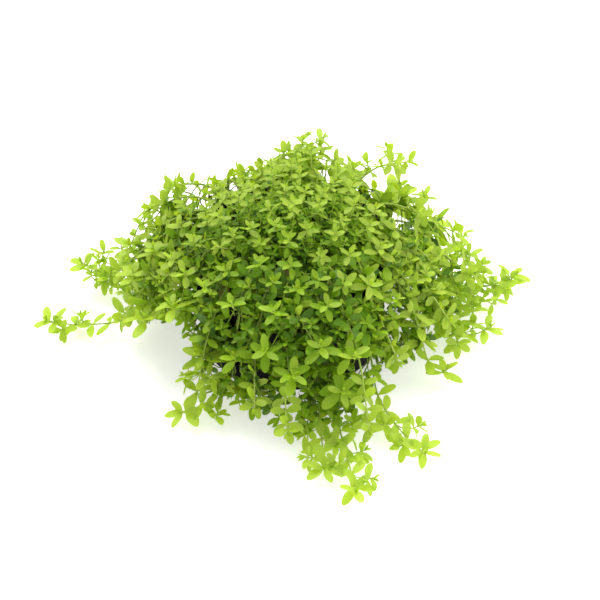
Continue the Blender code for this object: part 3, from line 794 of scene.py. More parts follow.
class Lines:
    """The stems of one shoot as points joined by edges, with the attributes of every point."""

    ATTRIBUTES = {
        "thickness": "FLOAT",
        "growth": "FLOAT_VECTOR",
        "across": "FLOAT_VECTOR",
        "turn": "FLOAT",
        "leaf_length": "FLOAT",
        "rise": "FLOAT",
        "age": "FLOAT",
        "woody": "FLOAT",
    }

    def __init__(self):
        self.points = []
        self.edges = []
        self.values = {name: [] for name in self.ATTRIBUTES}

    def add_stem(self, stem, habit, draw):
        """Adds a stem from its tip to its root."""
        whorls = whorls_of(stem, habit, draw)
        first_turn = draw.uniform(0.0, math.tau)
        steps = int(stem.length / LINE_STEP)
        plain = [stem.length * step / steps for step in range(steps + 1)]
        plain = [back for back in plain if all(abs(back - whorl) > CLEAR_OF_WHORL for whorl in whorls)]
        across = Vector((1.0, 0.0, 0.0))
        for step, back in enumerate(sorted([*plain, *whorls])):
            point, growth = stem.at(back)
            growth = growth.lerp(UP, habit.turned).normalized()
            across = (across - growth * across.dot(growth)).normalized()
            number, length, rise = whorls.get(back, (0, 0.0, 0.0))
            if number >= habit.free and not within_outline(point, WHORL_MARGIN):
                length = 0.0
            share = (back / stem.length) ** TAPER_CURVE
            thickness = habit.radii[0] + (habit.radii[1] - habit.radii[0]) * share
            if length:
                thickness *= NODE_SWELLING
            if step:
                self.edges.append((len(self.points) - 1, len(self.points)))
            self.points.append(point)
            row = (thickness, growth.copy(), across.copy(), first_turn + number * math.pi / 3)
            row += (length, rise, age_with_painted_light(point, back, habit), min(1.0, back / ROOTWARD_FULL_AT))
            for name, value in zip(self.ATTRIBUTES, row):
                self.values[name].append(value)

    def mesh(self, name):
        """The lines as a mesh with no faces."""
        mesh = bpy.data.meshes.new(name)
        mesh.from_pydata(self.points, self.edges, [])
        for attribute, kind in self.ATTRIBUTES.items():
            values = self.values[attribute]
            layer = mesh.attributes.new(attribute, kind, "POINT")
            if kind == "FLOAT":
                layer.data.foreach_set("value", values)
            else:
                layer.data.foreach_set("vector", [number for vector in values for number in vector])
        return mesh


# %% [markdown]
# ## Leaf shapes
#
# A pearlweed leaf is a small ellipse, widest at its middle, with a short narrow foot and a pointed end. It is
# thin, slightly cupped along the midrib and bends down towards its end. Eight shapes are modelled once, one
# unit long, and every leaf in the plant is a copy of one of them: three plain ones for the small leaves at
# the tips, and five for grown leaves. Each is a closed skin of a few dozen faces, so that the underside can
# have its own paler colour. The edge is marked sharp, which keeps the two sides from shading into each other.

# %% Model the leaf shapes
# The outline of a leaf, as (place along it, share of its half width)
LEAF_SECTIONS = ((0.0, 0.11), (0.15, 0.44), (0.34, 0.88), (0.55, 1.0), (0.78, 0.84), (0.93, 0.49))
SMALL_SECTIONS = ((0.0, 0.11), (0.22, 0.60), (0.50, 1.0), (0.82, 0.70))
LEAF_HALF_THICKNESS = 0.016
# Each shape as (half width, droop, cup, sideways bend)
SMALL_SHAPES = ((0.225, -0.04, 0.34, 0.02), (0.240, 0.02, 0.28, -0.03), (0.230, 0.08, 0.20, 0.03))
GROWN_SHAPES = (
    (0.230, 0.08, 0.20, 0.03),
    (0.215, 0.14, 0.26, -0.04),
    (0.240, 0.05, 0.12, -0.02),
    (0.210, 0.20, 0.30, 0.05),
    (0.225, 0.11, 0.16, 0.00),
)


def object_of(name, bm):
    """The mesh as an object."""
    mesh = bpy.data.meshes.new(name)
    bm.to_mesh(mesh)
    bm.free()
    return bpy.data.objects.new(name, mesh)


def leaf_shape(name, outline, half_width, droop, cup, bend):
    """A leaf one unit long, from the origin along +X, with its upper side towards +Z."""
    bm = bmesh.new()
    under = bm.faces.layers.float.new("under")
    uv = bm.loops.layers.uv.new("leaf_uv")
    sections = []
    places = {}
    for along, width in outline:
        side = half_width * width
        middle = Vector((along, bend * math.sin(math.pi * along), -droop * along**2))
        raised = cup * side
        ring = [
            middle + Vector((0.0, side, raised)),
            middle + Vector((0.0, 0.0, LEAF_HALF_THICKNESS)),
            middle + Vector((0.0, -side, raised)),
            middle - Vector((0.0, 0.0, LEAF_HALF_THICKNESS)),
        ]
        verts = [bm.verts.new(point) for point in ring]
        for vert, place in zip(verts, (1.0, 0.5, 0.0, 0.5)):
            places[vert] = (place, along)
        sections.append(verts)
    tip = bm.verts.new((1.0, 0.0, -droop))
    places[tip] = (0.5, 1.0)
    for near, far in zip(sections, sections[1:]):
        for side in range(4):
            following = (side + 1) % 4
            face = bm.faces.new((near[side], near[following], far[following], far[side]))
            face[under] = float(side >= 2)
    for side in range(4):
        face = bm.faces.new((sections[-1][side], sections[-1][(side + 1) % 4], tip))
        face[under] = float(side >= 2)
    bm.faces.new(sections[0][::-1])
    bmesh.ops.recalc_face_normals(bm, faces=bm.faces)
    for face in bm.faces:
        face.smooth = True
        for loop in face.loops:
            loop[uv].uv = places[loop.vert]
    for edge in bm.edges:
        sides = {face[under] for face in edge.link_faces}
        edge.smooth = len(sides) == 1
    return object_of(name, bm)


leaf_shapes = bpy.data.collections.new("leaf shapes")
outlines = [SMALL_SECTIONS] * len(SMALL_SHAPES) + [LEAF_SECTIONS] * len(GROWN_SHAPES)
for number, (outline, shape) in enumerate(zip(outlines, SMALL_SHAPES + GROWN_SHAPES)):
    leaf_shapes.objects.link(leaf_shape(f"leaf shape {number}", outline, *shape))
print("faces of the leaf shapes:", [len(shape.data.polygons) for shape in leaf_shapes.objects])


# %% [markdown]
# ## Finishes of the plant
#
# Under a soft light a living leaf shows three things: a bright yellow-green where it is young, a deeper green
# with age, and a glow where light comes through it. So the leaf is a mix of a glossy surface and a
# translucent one. Its colour follows its age and a random tone of its own, with a paler midrib, faint side
# veins and a paler underside. Painted light is in it too: leaves near the outline are painted paler, the deep
# layer is painted darker as painted shade, and a paler band along each leaf's edge is a painted highlight. A
# few old leaves have withered. The stem is paler than the leaves, and darkens towards its root; it takes the
# same painted light and shade.
#
# The nodes that every finish needs are methods of its tree, so that a finish lists only what is its own.


# %% What every finish is made of
class Finish(Tree):
    """The node tree of a new material."""

    def __init__(self, name):
        self.material = bpy.data.materials.new(name)
        self.material.use_nodes = True
        self.material.node_tree.nodes.clear()
        super().__init__(self.material.node_tree)

    def attribute(self, name):
        """A number stored on the mesh."""
        return self.add("ShaderNodeAttribute", {"attribute_name": name}, output="Fac")

    def place(self):
        """The object's own coordinates."""
        return self.add("ShaderNodeTexCoord", output="Object")

    def noise(self, place, scale, detail):
        """Noise that varies about a half."""
        return self.add("ShaderNodeTexNoise", None, {"Vector": place, "Scale": scale, "Detail": detail})

    def ramp(self, factor, *stops):
        """The colour at the factor, between (place, colour) stops."""
        return self.add("ShaderNodeValToRGB", {"stops": stops}, {"Fac": factor})

    def mix(self, factor, colour, other):
        """The colour, which the factor turns into the other one."""
        return self.add("ShaderNodeMix", {"data_type": "RGBA"}, {"Factor": factor, "A": colour, "B": other})

    def bump(self, height, strength, distance):
        """Relief in the shading alone."""
        sockets = {"Strength": strength, "Distance": distance, "Height": height}
        return self.add("ShaderNodeBump", None, sockets)

    def surface(self, colour, roughness, specular, bump):
        """A surface that light doesn't pass."""
        sockets = {"Base Color": colour, "Roughness": roughness, "Specular IOR Level": specular}
        sockets["Normal"] = bump
        return self.add("ShaderNodeBsdfPrincipled", None, sockets)

    def finished(self, surface):
        """The material, with that surface."""
        self.add("ShaderNodeOutputMaterial", None, {"Surface": surface})
        return self.material


# %% The leaf finish
LEAF_GRAIN = 900.0
RIBS_ON_LEAF = 46.0
RIB_SLANT = 1.1
TONE_SPREAD = 0.16
BLOTCH_SPREAD = 0.16
PALE_RIB_AND_EDGE_HIGHLIGHT = (0.52, 0.68, 0.14, 1.0)
PALE_UNDERSIDE = (0.25, 0.36, 0.10, 1.0)
WITHERED_BROWN = (0.130, 0.055, 0.018, 1.0)
WITHERED_TONE = 0.996
WITHERED_AGE = 0.35
GLOW = (0.76, 0.90, 0.14, 1.0)
YOUNG_GLOW = 0.58
GLOW_LOST = 0.38


def leaf_material():
    """The finish of every leaf."""
    tree = Finish("pearlweed leaf")
    age = tree.attribute("age")
    tone = tree.attribute("tone")
    under = tree.attribute("under")
    on_leaf = tree.add("ShaderNodeUVMap", {"uv_map": "leaf_uv"})
    from_middle = tree.math("ABSOLUTE", tree.part(on_leaf, "X") - 0.5)
    midrib = tree.math("SMOOTH_MIN", 1.0, tree.at_least(1.0 - from_middle * 14.0, 0.0), 0.2)
    ribs = tree.math("SINE", (tree.part(on_leaf, "Y") - from_middle * RIB_SLANT) * RIBS_ON_LEAF)
    # A paler band along the leaf's edge: a painted highlight
    margin = tree.at_least(from_middle * 5.0 - 1.9, 0.0)
    blotch = tree.noise(tree.place(), LEAF_GRAIN, 2.0)
    # The age attribute also carries painted light near the outline and painted shade in the deep layer
    stage = age + (tone - 0.5) * TONE_SPREAD + (blotch - 0.5) * BLOTCH_SPREAD
    colour = tree.ramp(
        stage,
        (0.0, (0.505, 0.630, 0.100)),
        (0.20, (0.310, 0.490, 0.022)),
        (0.50, (0.140, 0.310, 0.004)),
        (1.0, (0.030, 0.105, 0.002)),
    )
    # The midrib and side veins are the leaf's own paler colour; the paler edge is a painted highlight
    colour = tree.mix(midrib * 0.20 + margin * 0.18 + ribs * 0.04, colour, PALE_RIB_AND_EDGE_HIGHLIGHT)
    colour = tree.mix(under * 0.30, colour, PALE_UNDERSIDE)
    withered = (tone > WITHERED_TONE) * (age > WITHERED_AGE)
    colour = tree.mix(withered * (0.5 + 0.5 * blotch), colour, WITHERED_BROWN)
    bump = tree.bump(blotch * 0.5 + ribs * 0.10 - midrib * 0.5, 0.35, 0.00012)
    shiny = tree.surface(colour, 0.28 + 0.14 * blotch + 0.20 * under, 0.26, bump)
    glow = tree.add("ShaderNodeBsdfTranslucent", None, {"Color": GLOW, "Normal": bump})
    mixed = tree.add("ShaderNodeMixShader", None, {0: YOUNG_GLOW - GLOW_LOST * stage, 1: shiny, 2: glow})
    return tree.finished(mixed)


# %% The stem finish
STEM_GRAIN = 1400.0


def stem_material():
    """The finish of the stems."""
    tree = Finish("pearlweed stem")
    spots = tree.noise(tree.place(), STEM_GRAIN, 3.0)
    # Darker towards the root; the age attribute brings painted light and painted shade into the stem too
    colour = tree.ramp(
        tree.attribute("woody") * 0.5 + tree.attribute("age") * 0.5 + (spots - 0.5) * 0.3,
        (0.0, (0.480, 0.600, 0.140)),
        (0.35, (0.300, 0.430, 0.065)),
        (0.8, (0.150, 0.210, 0.035)),
    )
    return tree.finished(tree.surface(colour, 0.45 + 0.2 * spots, 0.05, tree.bump(spots, 0.3, 0.00008)))


LEAF_FINISH = leaf_material()
STEM_FINISH = stem_material()
print("finishes of the plant:", LEAF_FINISH.name, "and", STEM_FINISH.name)

# %% [markdown]
# ## Gaps in the leaves
#
# Here and there the leaves part. Low in front the black pot or the dark inside of the mound shows, which is
# what tells that there is a pot at all. Near the upper outline the white background shows through the tips.
# These gaps are kept: no leaf grows across the line of sight to them.

# %% The gaps, as they show from the front
# Each as (across, up the view, radius) in metres
GAPS = (
    (-0.0178, -0.0080, 0.0009), (-0.0136, -0.0096, 0.0011), (-0.0075, -0.0098, 0.0007),
    (0.0174, -0.0080, 0.0017), (0.0196, -0.0068, 0.0013), (-0.0135, 0.0039, 0.0013),
    (-0.0042, -0.0010, 0.0009), (-0.0148, 0.0378, 0.0008), (-0.0270, 0.0346, 0.0008),
    (-0.0229, 0.0338, 0.0011), (0.0073, 0.0419, 0.0007), (0.0096, 0.0406, 0.0008),
    (0.0281, 0.0299, 0.0011), (0.0278, 0.0276, 0.0011),
)
# The part of a leaf that stays out of them, from its foot to its point, as shares of its length
GAP_FROM = 0.1
GAP_TO = 0.9
print("gaps that are kept open:", len(GAPS))

# %% [markdown]
# ## Growing a shoot with Geometry Nodes
#
# One tree turns the poly-lines into a shoot. The stems are a circle swept along the lines. For the leaves,
# every node of the stem is copied three times, each copy is turned a third of the way round, and the leaf's
# own axes come from two directions: where it points, and where its upper side looks, which is part way
# from the stem's growth to the light. Random values with fixed seeds vary the turn, the rise and the size.
# A leaf near the table is lifted so that it never reaches below the surface.


# %% Trees with named inputs
class GeometryTree(Tree):
    """A Geometry Nodes tree with named inputs."""

    def __init__(self, name):
        group = bpy.data.node_groups.new(name, "GeometryNodeTree")
        super().__init__(group)
        self.identifiers = {}
        group.interface.new_socket(name="Geometry", in_out="INPUT", socket_type="NodeSocketGeometry")
        group.interface.new_socket(name="Geometry", in_out="OUTPUT", socket_type="NodeSocketGeometry")
        self.inputs = group.nodes.new("NodeGroupInput")

    def add_input(self, name, kind, value=None):
        """A named input of the tree, as a field."""
        item = self.tree.interface.new_socket(name=name, in_out="INPUT", socket_type="NodeSocket" + kind)
        if value is not None:
            item.default_value = value
        self.identifiers[name] = item.identifier
        return Field(self, self.inputs.outputs[name])

    def geometry(self):
        """The geometry that the modifier gets."""
        return Field(self, self.inputs.outputs["Geometry"])

    def read(self, name, kind="FLOAT"):
        """A stored attribute."""
        return self.add("GeometryNodeInputNamedAttribute", {"data_type": kind}, {"Name": name})

    def random(self, low, high, seed):
        """A random value for each element."""
        return self.add("FunctionNodeRandomValue", None, {"Min": low, "Max": high, "Seed": seed})

    def random_vector(self, low, high, seed):
        """A random vector for each element."""
        sockets = {"Min": low, "Max": high, "Seed": seed}
        return self.add("FunctionNodeRandomValue", {"data_type": "FLOAT_VECTOR"}, sockets)

    def finish(self, geometry):
        """Sends the geometry out."""
        self.add("NodeGroupOutput", None, {"Geometry": geometry})

    def dot(self, one, other):
        """The dot product of two vectors."""
        return self.vector("DOT_PRODUCT", one, other, output="Value")

    def seen_from_front(self, place):
        """Where a place shows from the front, as a vector with no depth."""
        across = self.dot(place, (1.0, 0.0, 0.0))
        up = self.dot(place, (0.0, math.sin(VIEW_ELEVATION), math.cos(VIEW_ELEVATION)))
        return self.add("ShaderNodeCombineXYZ", None, {"X": across, "Y": up})


# %% Build the tree of a shoot
def in_gaps(tree, place, arrow, side):
    """How many gaps a leaf from that place along the arrow would cover, with that much width to each side."""
    foot = tree.seen_from_front(place)
    reach = tree.seen_from_front(arrow)
    covered = 0.0
    for across, up, radius in GAPS:
        to_gap = tree.vector("SUBTRACT", (across, up, 0.0), foot)
        along = tree.dot(to_gap, reach) / tree.at_least(tree.dot(reach, reach), 1e-9)
        along = tree.math("MINIMUM", tree.at_least(along, GAP_FROM), GAP_TO)
        nearest = tree.vector("SCALE", reach, along)
        distance = tree.vector("DISTANCE", to_gap, nearest, output="Value")
        covered = covered + (radius + side > distance)
    return covered


def shoot_tree():
    """The tree that grows stems and leaves on poly-lines."""
    tree = GeometryTree("grow a shoot")
    shapes = tree.add_input("Leaf shapes", "Collection")
    small_count = tree.add_input("Small shapes", "Int", len(SMALL_SHAPES))
    grown_count = tree.add_input("Grown shapes", "Int", len(GROWN_SHAPES))
    swing = tree.add_input("Swing", "Float", math.radians(9))
    rise_play = tree.add_input("Rise play", "Float", math.radians(10))
    size_play = tree.add_input("Size play", "Float", 0.14)
    tilt_play = tree.add_input("Tilt play", "Float", 0.30)
    light = tree.add_input("Turn to light", "Float", 0.55)
    clearance = tree.add_input("Clearance of the table", "Float", 0.0004)
    pressed = tree.add_input("What is left below the clearance", "Float", 0.1)
    sag = tree.add_input("Sag of a leaf", "Float", 0.22)
    small_below = tree.add_input("Small leaves below", "Float", 0.0032)
    leaf_side = tree.add_input("Half width of a leaf", "Float", 0.12)
    sides = tree.add_input("Stem sides", "Int", 6)
    seed = tree.add_input("Seed", "Int", 1)
    leaf_finish = tree.add_input("Leaf finish", "Material")
    stem_finish = tree.add_input("Stem finish", "Material")
    lines = tree.geometry()

    curves = tree.add("GeometryNodeMeshToCurve", None, {"Mesh": lines})
    circle = tree.add("GeometryNodeCurvePrimitiveCircle", None, {"Resolution": sides, "Radius": 1.0})
    sockets = {"Curve": curves, "Profile Curve": circle, "Scale": tree.read("thickness"), "Fill Caps": True}
    tubes = tree.add("GeometryNodeCurveToMesh", None, sockets)
    stems = tree.add("GeometryNodeSetMaterial", None, {"Geometry": tubes, "Material": stem_finish})

    thirds = tree.add(
        "GeometryNodeDuplicateElements",
        {"domain": "POINT"},
        {"Geometry": lines, "Selection": tree.read("leaf_length") > 0.0, "Amount": 3},
    )
    copy_number = Field(tree, thirds.socket.node.outputs["Duplicate Index"])
    growth = tree.read("growth", "FLOAT_VECTOR")
    angle = tree.read("turn") + copy_number * (math.tau / 3) + tree.random(-1.0, 1.0, seed) * swing
    radial = tree.add(
        "ShaderNodeVectorRotate",
        {"rotation_type": "AXIS_ANGLE"},
        {"Vector": tree.read("across", "FLOAT_VECTOR"), "Axis": growth, "Angle": angle},
    )
    rise = tree.read("rise") + tree.random(-1.0, 1.0, seed + 1) * rise_play
    outwards = tree.vector("SCALE", radial, tree.math("COSINE", rise))
    onwards = tree.vector("SCALE", growth, tree.math("SINE", rise))
    pointing = tree.vector("ADD", outwards, onwards)
    length = tree.read("leaf_length") * (1.0 + tree.random(-1.0, 1.0, seed + 2) * size_play)
    place = tree.add("GeometryNodeInputPosition")
    lowest = (clearance + sag * length - tree.part(place, "Z")) / length
    parts = {axis: tree.part(pointing, axis) for axis in "XYZ"}
    parts["Z"] = tree.at_least(parts["Z"], lowest)
    lifted = tree.add("ShaderNodeCombineXYZ", None, parts)
    covered = in_gaps(tree, place, tree.vector("SCALE", lifted, length), leaf_side * length)
    towards = tree.add("ShaderNodeMix", {"data_type": "VECTOR"}, {"Factor": light, "A": growth, "B": UP})
    tilt = tree.random_vector((-1.0, -1.0, -1.0), (1.0, 1.0, 1.0), seed + 3)
    upper = tree.vector("ADD", towards, tree.vector("SCALE", tilt, tilt_play))
    rotation = tree.add(
        "FunctionNodeAxesToRotation",
        {"primary_axis": "X", "secondary_axis": "Z"},
        {"Primary Axis": lifted, "Secondary Axis": upper},
    )
    sockets = {"Geometry": thirds, "Name": "tone", "Value": tree.random(0.0, 1.0, seed + 4)}
    toned = tree.add("GeometryNodeStoreNamedAttribute", {"domain": "POINT"}, sockets)
    small = tree.read("leaf_length") < small_below
    pick = tree.random(0.0, 0.999, seed + 5)
    small_shape = tree.math("FLOOR", pick * small_count)
    grown_shape = small_count + tree.math("FLOOR", pick * grown_count)
    leaves = tree.add(
        "GeometryNodeInstanceOnPoints",
        None,
        {
            "Points": toned,
            "Selection": covered < 0.5,
            "Instance": tree.add("GeometryNodeCollectionInfo", None, {"Collection": shapes, 1: True}),
            "Pick Instance": True,
            "Instance Index": small * small_shape + (1.0 - small) * grown_shape,
            "Rotation": rotation,
            "Scale": length,
        },
    )
    real = tree.add("GeometryNodeRealizeInstances", None, {"Geometry": leaves})
    above = tree.part(tree.add("GeometryNodeInputPosition"), "Z")
    resting = tree.at_least(above, clearance + (above - clearance) * pressed) - above
    moved = tree.add("ShaderNodeCombineXYZ", None, {"Z": resting})
    laid = tree.add("GeometryNodeSetPosition", None, {"Geometry": real, "Offset": moved})
    dressed = tree.add("GeometryNodeSetMaterial", None, {"Geometry": laid, "Material": leaf_finish})
    tree.finish(tree.add("GeometryNodeJoinGeometry", None, {"Geometry": [dressed, stems]}))
    return tree


SHOOT_TREE = shoot_tree()


# %% Grow every shoot in place of its solid
READ_BY_FINISHES = ("age", "woody")


def apply_modifiers(thing):
    """Puts the result of an object's modifiers in its mesh."""
    graph = bpy.context.evaluated_depsgraph_get()
    mesh = bpy.data.meshes.new_from_object(thing.evaluated_get(graph))
    thing.modifiers.clear()
    thing.data = mesh


def grown(name, lines, tree, settings):
    """An object with the tree's result as its plain mesh."""
    thing = bpy.data.objects.new(name, lines.mesh(name))
    bpy.context.scene.collection.objects.link(thing)
    modifier = thing.modifiers.new("Grow", "NODES")
    modifier.node_group = tree.tree
    for key, value in settings.items():
        modifier[tree.identifiers[key]] = value
    apply_modifiers(thing)
    attributes = thing.data.attributes
    for attribute in Lines.ATTRIBUTES:
        if attribute not in READ_BY_FINISHES and attribute in attributes:
            attributes.remove(attributes[attribute])
    return thing


def triangles_in(mesh):
    """How many triangles a mesh has."""
    return sum(len(face.vertices) - 2 for face in mesh.polygons)


total = 0
whorl_total = 0
for number, (name, stem) in enumerate(main_stems.items()):
    draw = random.Random(SEED * 1000 + number)
    kind, _ = name.rsplit("_", 1)
    lines = Lines()
    lines.add_stem(stem, HABITS[kind], draw)
    for side, vigour, older in side_stems[name]:
        habit = Habit(SHOOT_WHORLS, SIDE_RADII, vigour, older, SIDE_PACE, SIDE_TURNED, SIDE_FREE)
        lines.add_stem(side, habit, draw)
    settings = {
        "Leaf shapes": leaf_shapes,
        "Seed": 100 * number + 1,
        "Leaf finish": LEAF_FINISH,
        "Stem finish": STEM_FINISH,
    }
    shoot = grown("leafy_" + name, lines, SHOOT_TREE, settings)
    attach(shoot, "root")
    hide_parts(name)
    total += triangles_in(shoot.data)
    whorl_total += sum(length > 0 for length in lines.values["leaf_length"])
print("whorls of three leaves:", whorl_total, "triangles in the shoots:", total)

# %% [markdown]
# ## The pot
#
# The pot is a moulded basket of black plastic. Little of it shows through the leaves, but it has to hold up
# from the side and from below. It is a profile turned about its axis, with a bead along the rim. The slots
# are cut with rounded cutters by an exact Boolean, and a small bevel breaks every edge as a mould does.

# %% Turn the pot and cut its slots
POT_FLOOR = 0.0014
RIM_RADIUS = 0.0275
RIM_DEPTH = 0.0022
RIM_BEAD = 0.0003
POT_STEPS = 120
SLOT_COUNT = 10
SLOT_WIDTH = 0.0022
SLOT_BOTTOM = 0.0050
SLOT_TOP = 0.0215
FLOOR_SLOT_COUNT = 6
FLOOR_SLOT_INNER = 0.0070
FLOOR_SLOT_OUTER = 0.0180
SLOT_END_STEPS = 8
CUTTER_DEPTH = 0.008
EDGE_ROUND = 0.00022
EDGE_SEGMENTS = 2
EDGE_ANGLE = math.radians(35)
SHARP_ANGLE = math.radians(50)


def linked(name, bm):
    """The mesh as an object in the scene."""
    thing = object_of(name, bm)
    bpy.context.scene.collection.objects.link(thing)
    return thing


def turned(name, profile, steps):
    """A closed skin: a profile, which starts and ends on the axis, turned about Z."""
    bm = bmesh.new()
    rings = []
    for radius, height in profile:
        count = steps if radius > 0.0 else 1
        rings.append([bm.verts.new(round_to(360.0 * step / steps, radius, height)) for step in range(count)])
    for near, far in zip(rings, rings[1:]):
        for step in range(steps):
            following = (step + 1) % steps
            corners = [near[step % len(near)], near[following % len(near)]]
            corners += [far[following % len(far)], far[step % len(far)]]
            bm.faces.new(dict.fromkeys(corners))
    bmesh.ops.recalc_face_normals(bm, faces=bm.faces)
    return linked(name, bm)


def slot_outline(length, width):
    """The outline of a slot with round ends, which lies along Z in the plane of Y and Z."""
    outline = []
    for end in (1, -1):
        middle = end * (length - width) / 2
        for step in range(SLOT_END_STEPS + 1):
            angle = math.pi * step / SLOT_END_STEPS
            outline.append((end * width / 2 * math.cos(angle), middle + end * width / 2 * math.sin(angle)))
    return outline


def add_cutter(bm, length, width, depth, matrix):
    """A prism with a slot's outline, along X."""
    outline = slot_outline(length, width)
    ends = []
    for x in (-depth / 2, depth / 2):
        ends.append([bm.verts.new(matrix @ Vector((x, y, z))) for y, z in outline])
    bm.faces.new(ends[0][::-1])
    bm.faces.new(ends[1])
    for here, there in zip(range(len(outline)), [*range(1, len(outline)), 0]):
        bm.faces.new((ends[0][here], ends[0][there], ends[1][there], ends[1][here]))


def slot_cutters():
    """All the cutters of the pot in one object."""
    bm = bmesh.new()
    middle = Matrix.Translation((POT_TOP_RADIUS, 0.0, (SLOT_BOTTOM + SLOT_TOP) / 2))
    for number in range(SLOT_COUNT):
        turn = Matrix.Rotation(math.tau * (number + 0.5) / SLOT_COUNT, 4, "Z")
        add_cutter(bm, SLOT_TOP - SLOT_BOTTOM, SLOT_WIDTH, CUTTER_DEPTH, turn @ middle)
    middle = Matrix.Translation(((FLOOR_SLOT_INNER + FLOOR_SLOT_OUTER) / 2, 0.0, POT_FLOOR / 2))
    lying = Matrix.Rotation(math.pi / 2, 4, "Y")
    for number in range(FLOOR_SLOT_COUNT):
        turn = Matrix.Rotation(math.tau * number / FLOOR_SLOT_COUNT, 4, "Z")
        add_cutter(bm, FLOOR_SLOT_OUTER - FLOOR_SLOT_INNER, SLOT_WIDTH, 3 * POT_FLOOR, turn @ middle @ lying)
    bmesh.ops.recalc_face_normals(bm, faces=bm.faces)
    return linked("slot cutters", bm)


pot_profile = (
    (0.0, POT_FLOOR),
    (POT_BASE_RADIUS - POT_WALL, POT_FLOOR),
    (POT_TOP_RADIUS - POT_WALL, POT_HEIGHT),
    (POT_TOP_RADIUS + RIM_BEAD, POT_HEIGHT),
    (POT_TOP_RADIUS + 2 * RIM_BEAD, POT_HEIGHT - RIM_BEAD),
    (RIM_RADIUS - RIM_BEAD, POT_HEIGHT - RIM_BEAD),
    (RIM_RADIUS, POT_HEIGHT - 2 * RIM_BEAD),
    (RIM_RADIUS, POT_HEIGHT - RIM_DEPTH),
    (POT_TOP_RADIUS, POT_HEIGHT - RIM_DEPTH),
    (POT_BASE_RADIUS, 0.0),
    (0.0, 0.0),
)
pot = turned("mesh_pot", pot_profile, POT_STEPS)
cutters = slot_cutters()
cut = pot.modifiers.new("Slots", "BOOLEAN")
cut.operation = "DIFFERENCE"
cut.solver = "EXACT"
cut.object = cutters
edges = pot.modifiers.new("Edges", "BEVEL")
edges.width = EDGE_ROUND
edges.segments = EDGE_SEGMENTS
edges.limit_method = "ANGLE"
edges.angle_limit = EDGE_ANGLE
apply_modifiers(pot)
bpy.data.objects.remove(cutters)
pot.data.shade_smooth()
pot.data.set_sharp_from_angle(angle=SHARP_ANGLE)
print("triangles in the pot:", triangles_in(pot.data))


# %% [markdown]
# ## The finish of the pot
#
# Black plastic from a mould is satin, with a very fine grain. Handling rubs it smoother in patches, and
# dried water leaves a faint grey bloom, more of it low down. Both are noise on the object's own coordinates.

# %% Black plastic
PLASTIC_BLACK = (0.002, 0.002, 0.002, 1.0)
BLOOM_GREY = (0.016, 0.017, 0.014, 1.0)


def plastic_material():
    """The finish of the pot."""
    tree = Finish("black plastic")
    place = tree.place()
    grain = tree.noise(place, 4200.0, 2.0)
    patches = tree.noise(place, 160.0, 4.0)
    scuffs = tree.noise(tree.vector("MULTIPLY", place, (1.0, 1.0, 0.12)), 2600.0, 2.0)
    height = tree.part(place, "Z")
    sockets = {"Value": height, "From Max": POT_HEIGHT, "To Min": 1.0, "To Max": 0.3}
    low = tree.add("ShaderNodeMapRange", None, sockets)
    bloom = tree.math("SMOOTH_MIN", patches > 0.54, tree.at_least((patches - 0.5) * 5.0, 0.0), 0.1)
    marks = bloom * low * 0.20 + tree.at_least(scuffs - 0.62, 0.0) * 0.5
    colour = tree.mix(marks, PLASTIC_BLACK, BLOOM_GREY)
    bump = tree.bump(grain + scuffs * 0.6, 0.25, 0.00005)
    return tree.finished(tree.surface(colour, 0.44 + 0.22 * patches + 0.15 * bloom, 0.04, bump))


pot.data.materials.clear()
pot.data.materials.append(plastic_material())
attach(pot, "root")
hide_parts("pot")

# %% [markdown]
# ## The plug of mineral wool
#
# Aquarium pots are filled with mineral wool: a felt of short glassy fibres, brown-grey when wet, lumpy
# where it was torn, with loose ends standing off it. The body is a turned skin whose points are pushed
# about by noise. The loose fibres are one bent strand, scattered over the skin by Geometry Nodes.

# %% The body of the wool
PLUG_GAP = 0.0003
PLUG_EDGE_ROUND = 0.0015
PLUG_STEPS = 96
PLUG_RINGS = 26
PLUG_EDGE_STEPS = 4
PLUG_SIDE_STEPS = 20
LUMP_SCALE = 420.0
LUMP_ROUGHNESS = 0.8
LUMP_DETAIL = 2.1
LUMP_OCTAVES = 3
LUMP_HEIGHT = 0.00060


def plug_profile():
    """The outline of the wool, from the middle of its top to the middle of its underside."""
    taper = (POT_TOP_RADIUS - POT_BASE_RADIUS) / POT_HEIGHT
    inside = POT_BASE_RADIUS - POT_WALL - PLUG_GAP
    edge = inside + taper * PLUG_EDGE_HEIGHT - PLUG_GAP
    floor = POT_FLOOR + PLUG_GAP
    shoulder = edge - PLUG_EDGE_ROUND
    radii = [shoulder * ring / PLUG_RINGS for ring in range(PLUG_RINGS)]
    profile = [(radius, plug_height(radius)) for radius in radii]
    for step in range(PLUG_EDGE_STEPS + 1):
        angle = math.pi / 2 * step / PLUG_EDGE_STEPS
        down = PLUG_EDGE_ROUND * (1 - math.cos(angle))
        profile.append((shoulder + PLUG_EDGE_ROUND * math.sin(angle), plug_height(shoulder) - down))
    side_radius, side_top = profile[-1]
    for step in range(1, PLUG_SIDE_STEPS):
        share = step / PLUG_SIDE_STEPS
        radius = side_radius + (inside - side_radius) * share
        profile.append((radius, side_top + (floor - side_top) * share))
    return [*profile, (inside, floor), (inside / 2, floor), (0.0, floor)]


wool = turned("wool", plug_profile(), PLUG_STEPS)
for vertex in wool.data.vertices:
    lump = noise.fractal(vertex.co * LUMP_SCALE, LUMP_ROUGHNESS, LUMP_DETAIL, LUMP_OCTAVES)
    if POT_FLOOR + 2 * PLUG_GAP < vertex.co.z < PLUG_EDGE_HEIGHT:
        outwards = Vector((vertex.co.x, vertex.co.y, 0.0)).normalized()
        vertex.co -= outwards * LUMP_HEIGHT * abs(lump)
    if vertex.co.z > PLUG_EDGE_HEIGHT - PLUG_EDGE_ROUND:
        vertex.co.z += LUMP_HEIGHT * lump
wool.data.shade_smooth()
print("triangles in the wool:", triangles_in(wool.data))


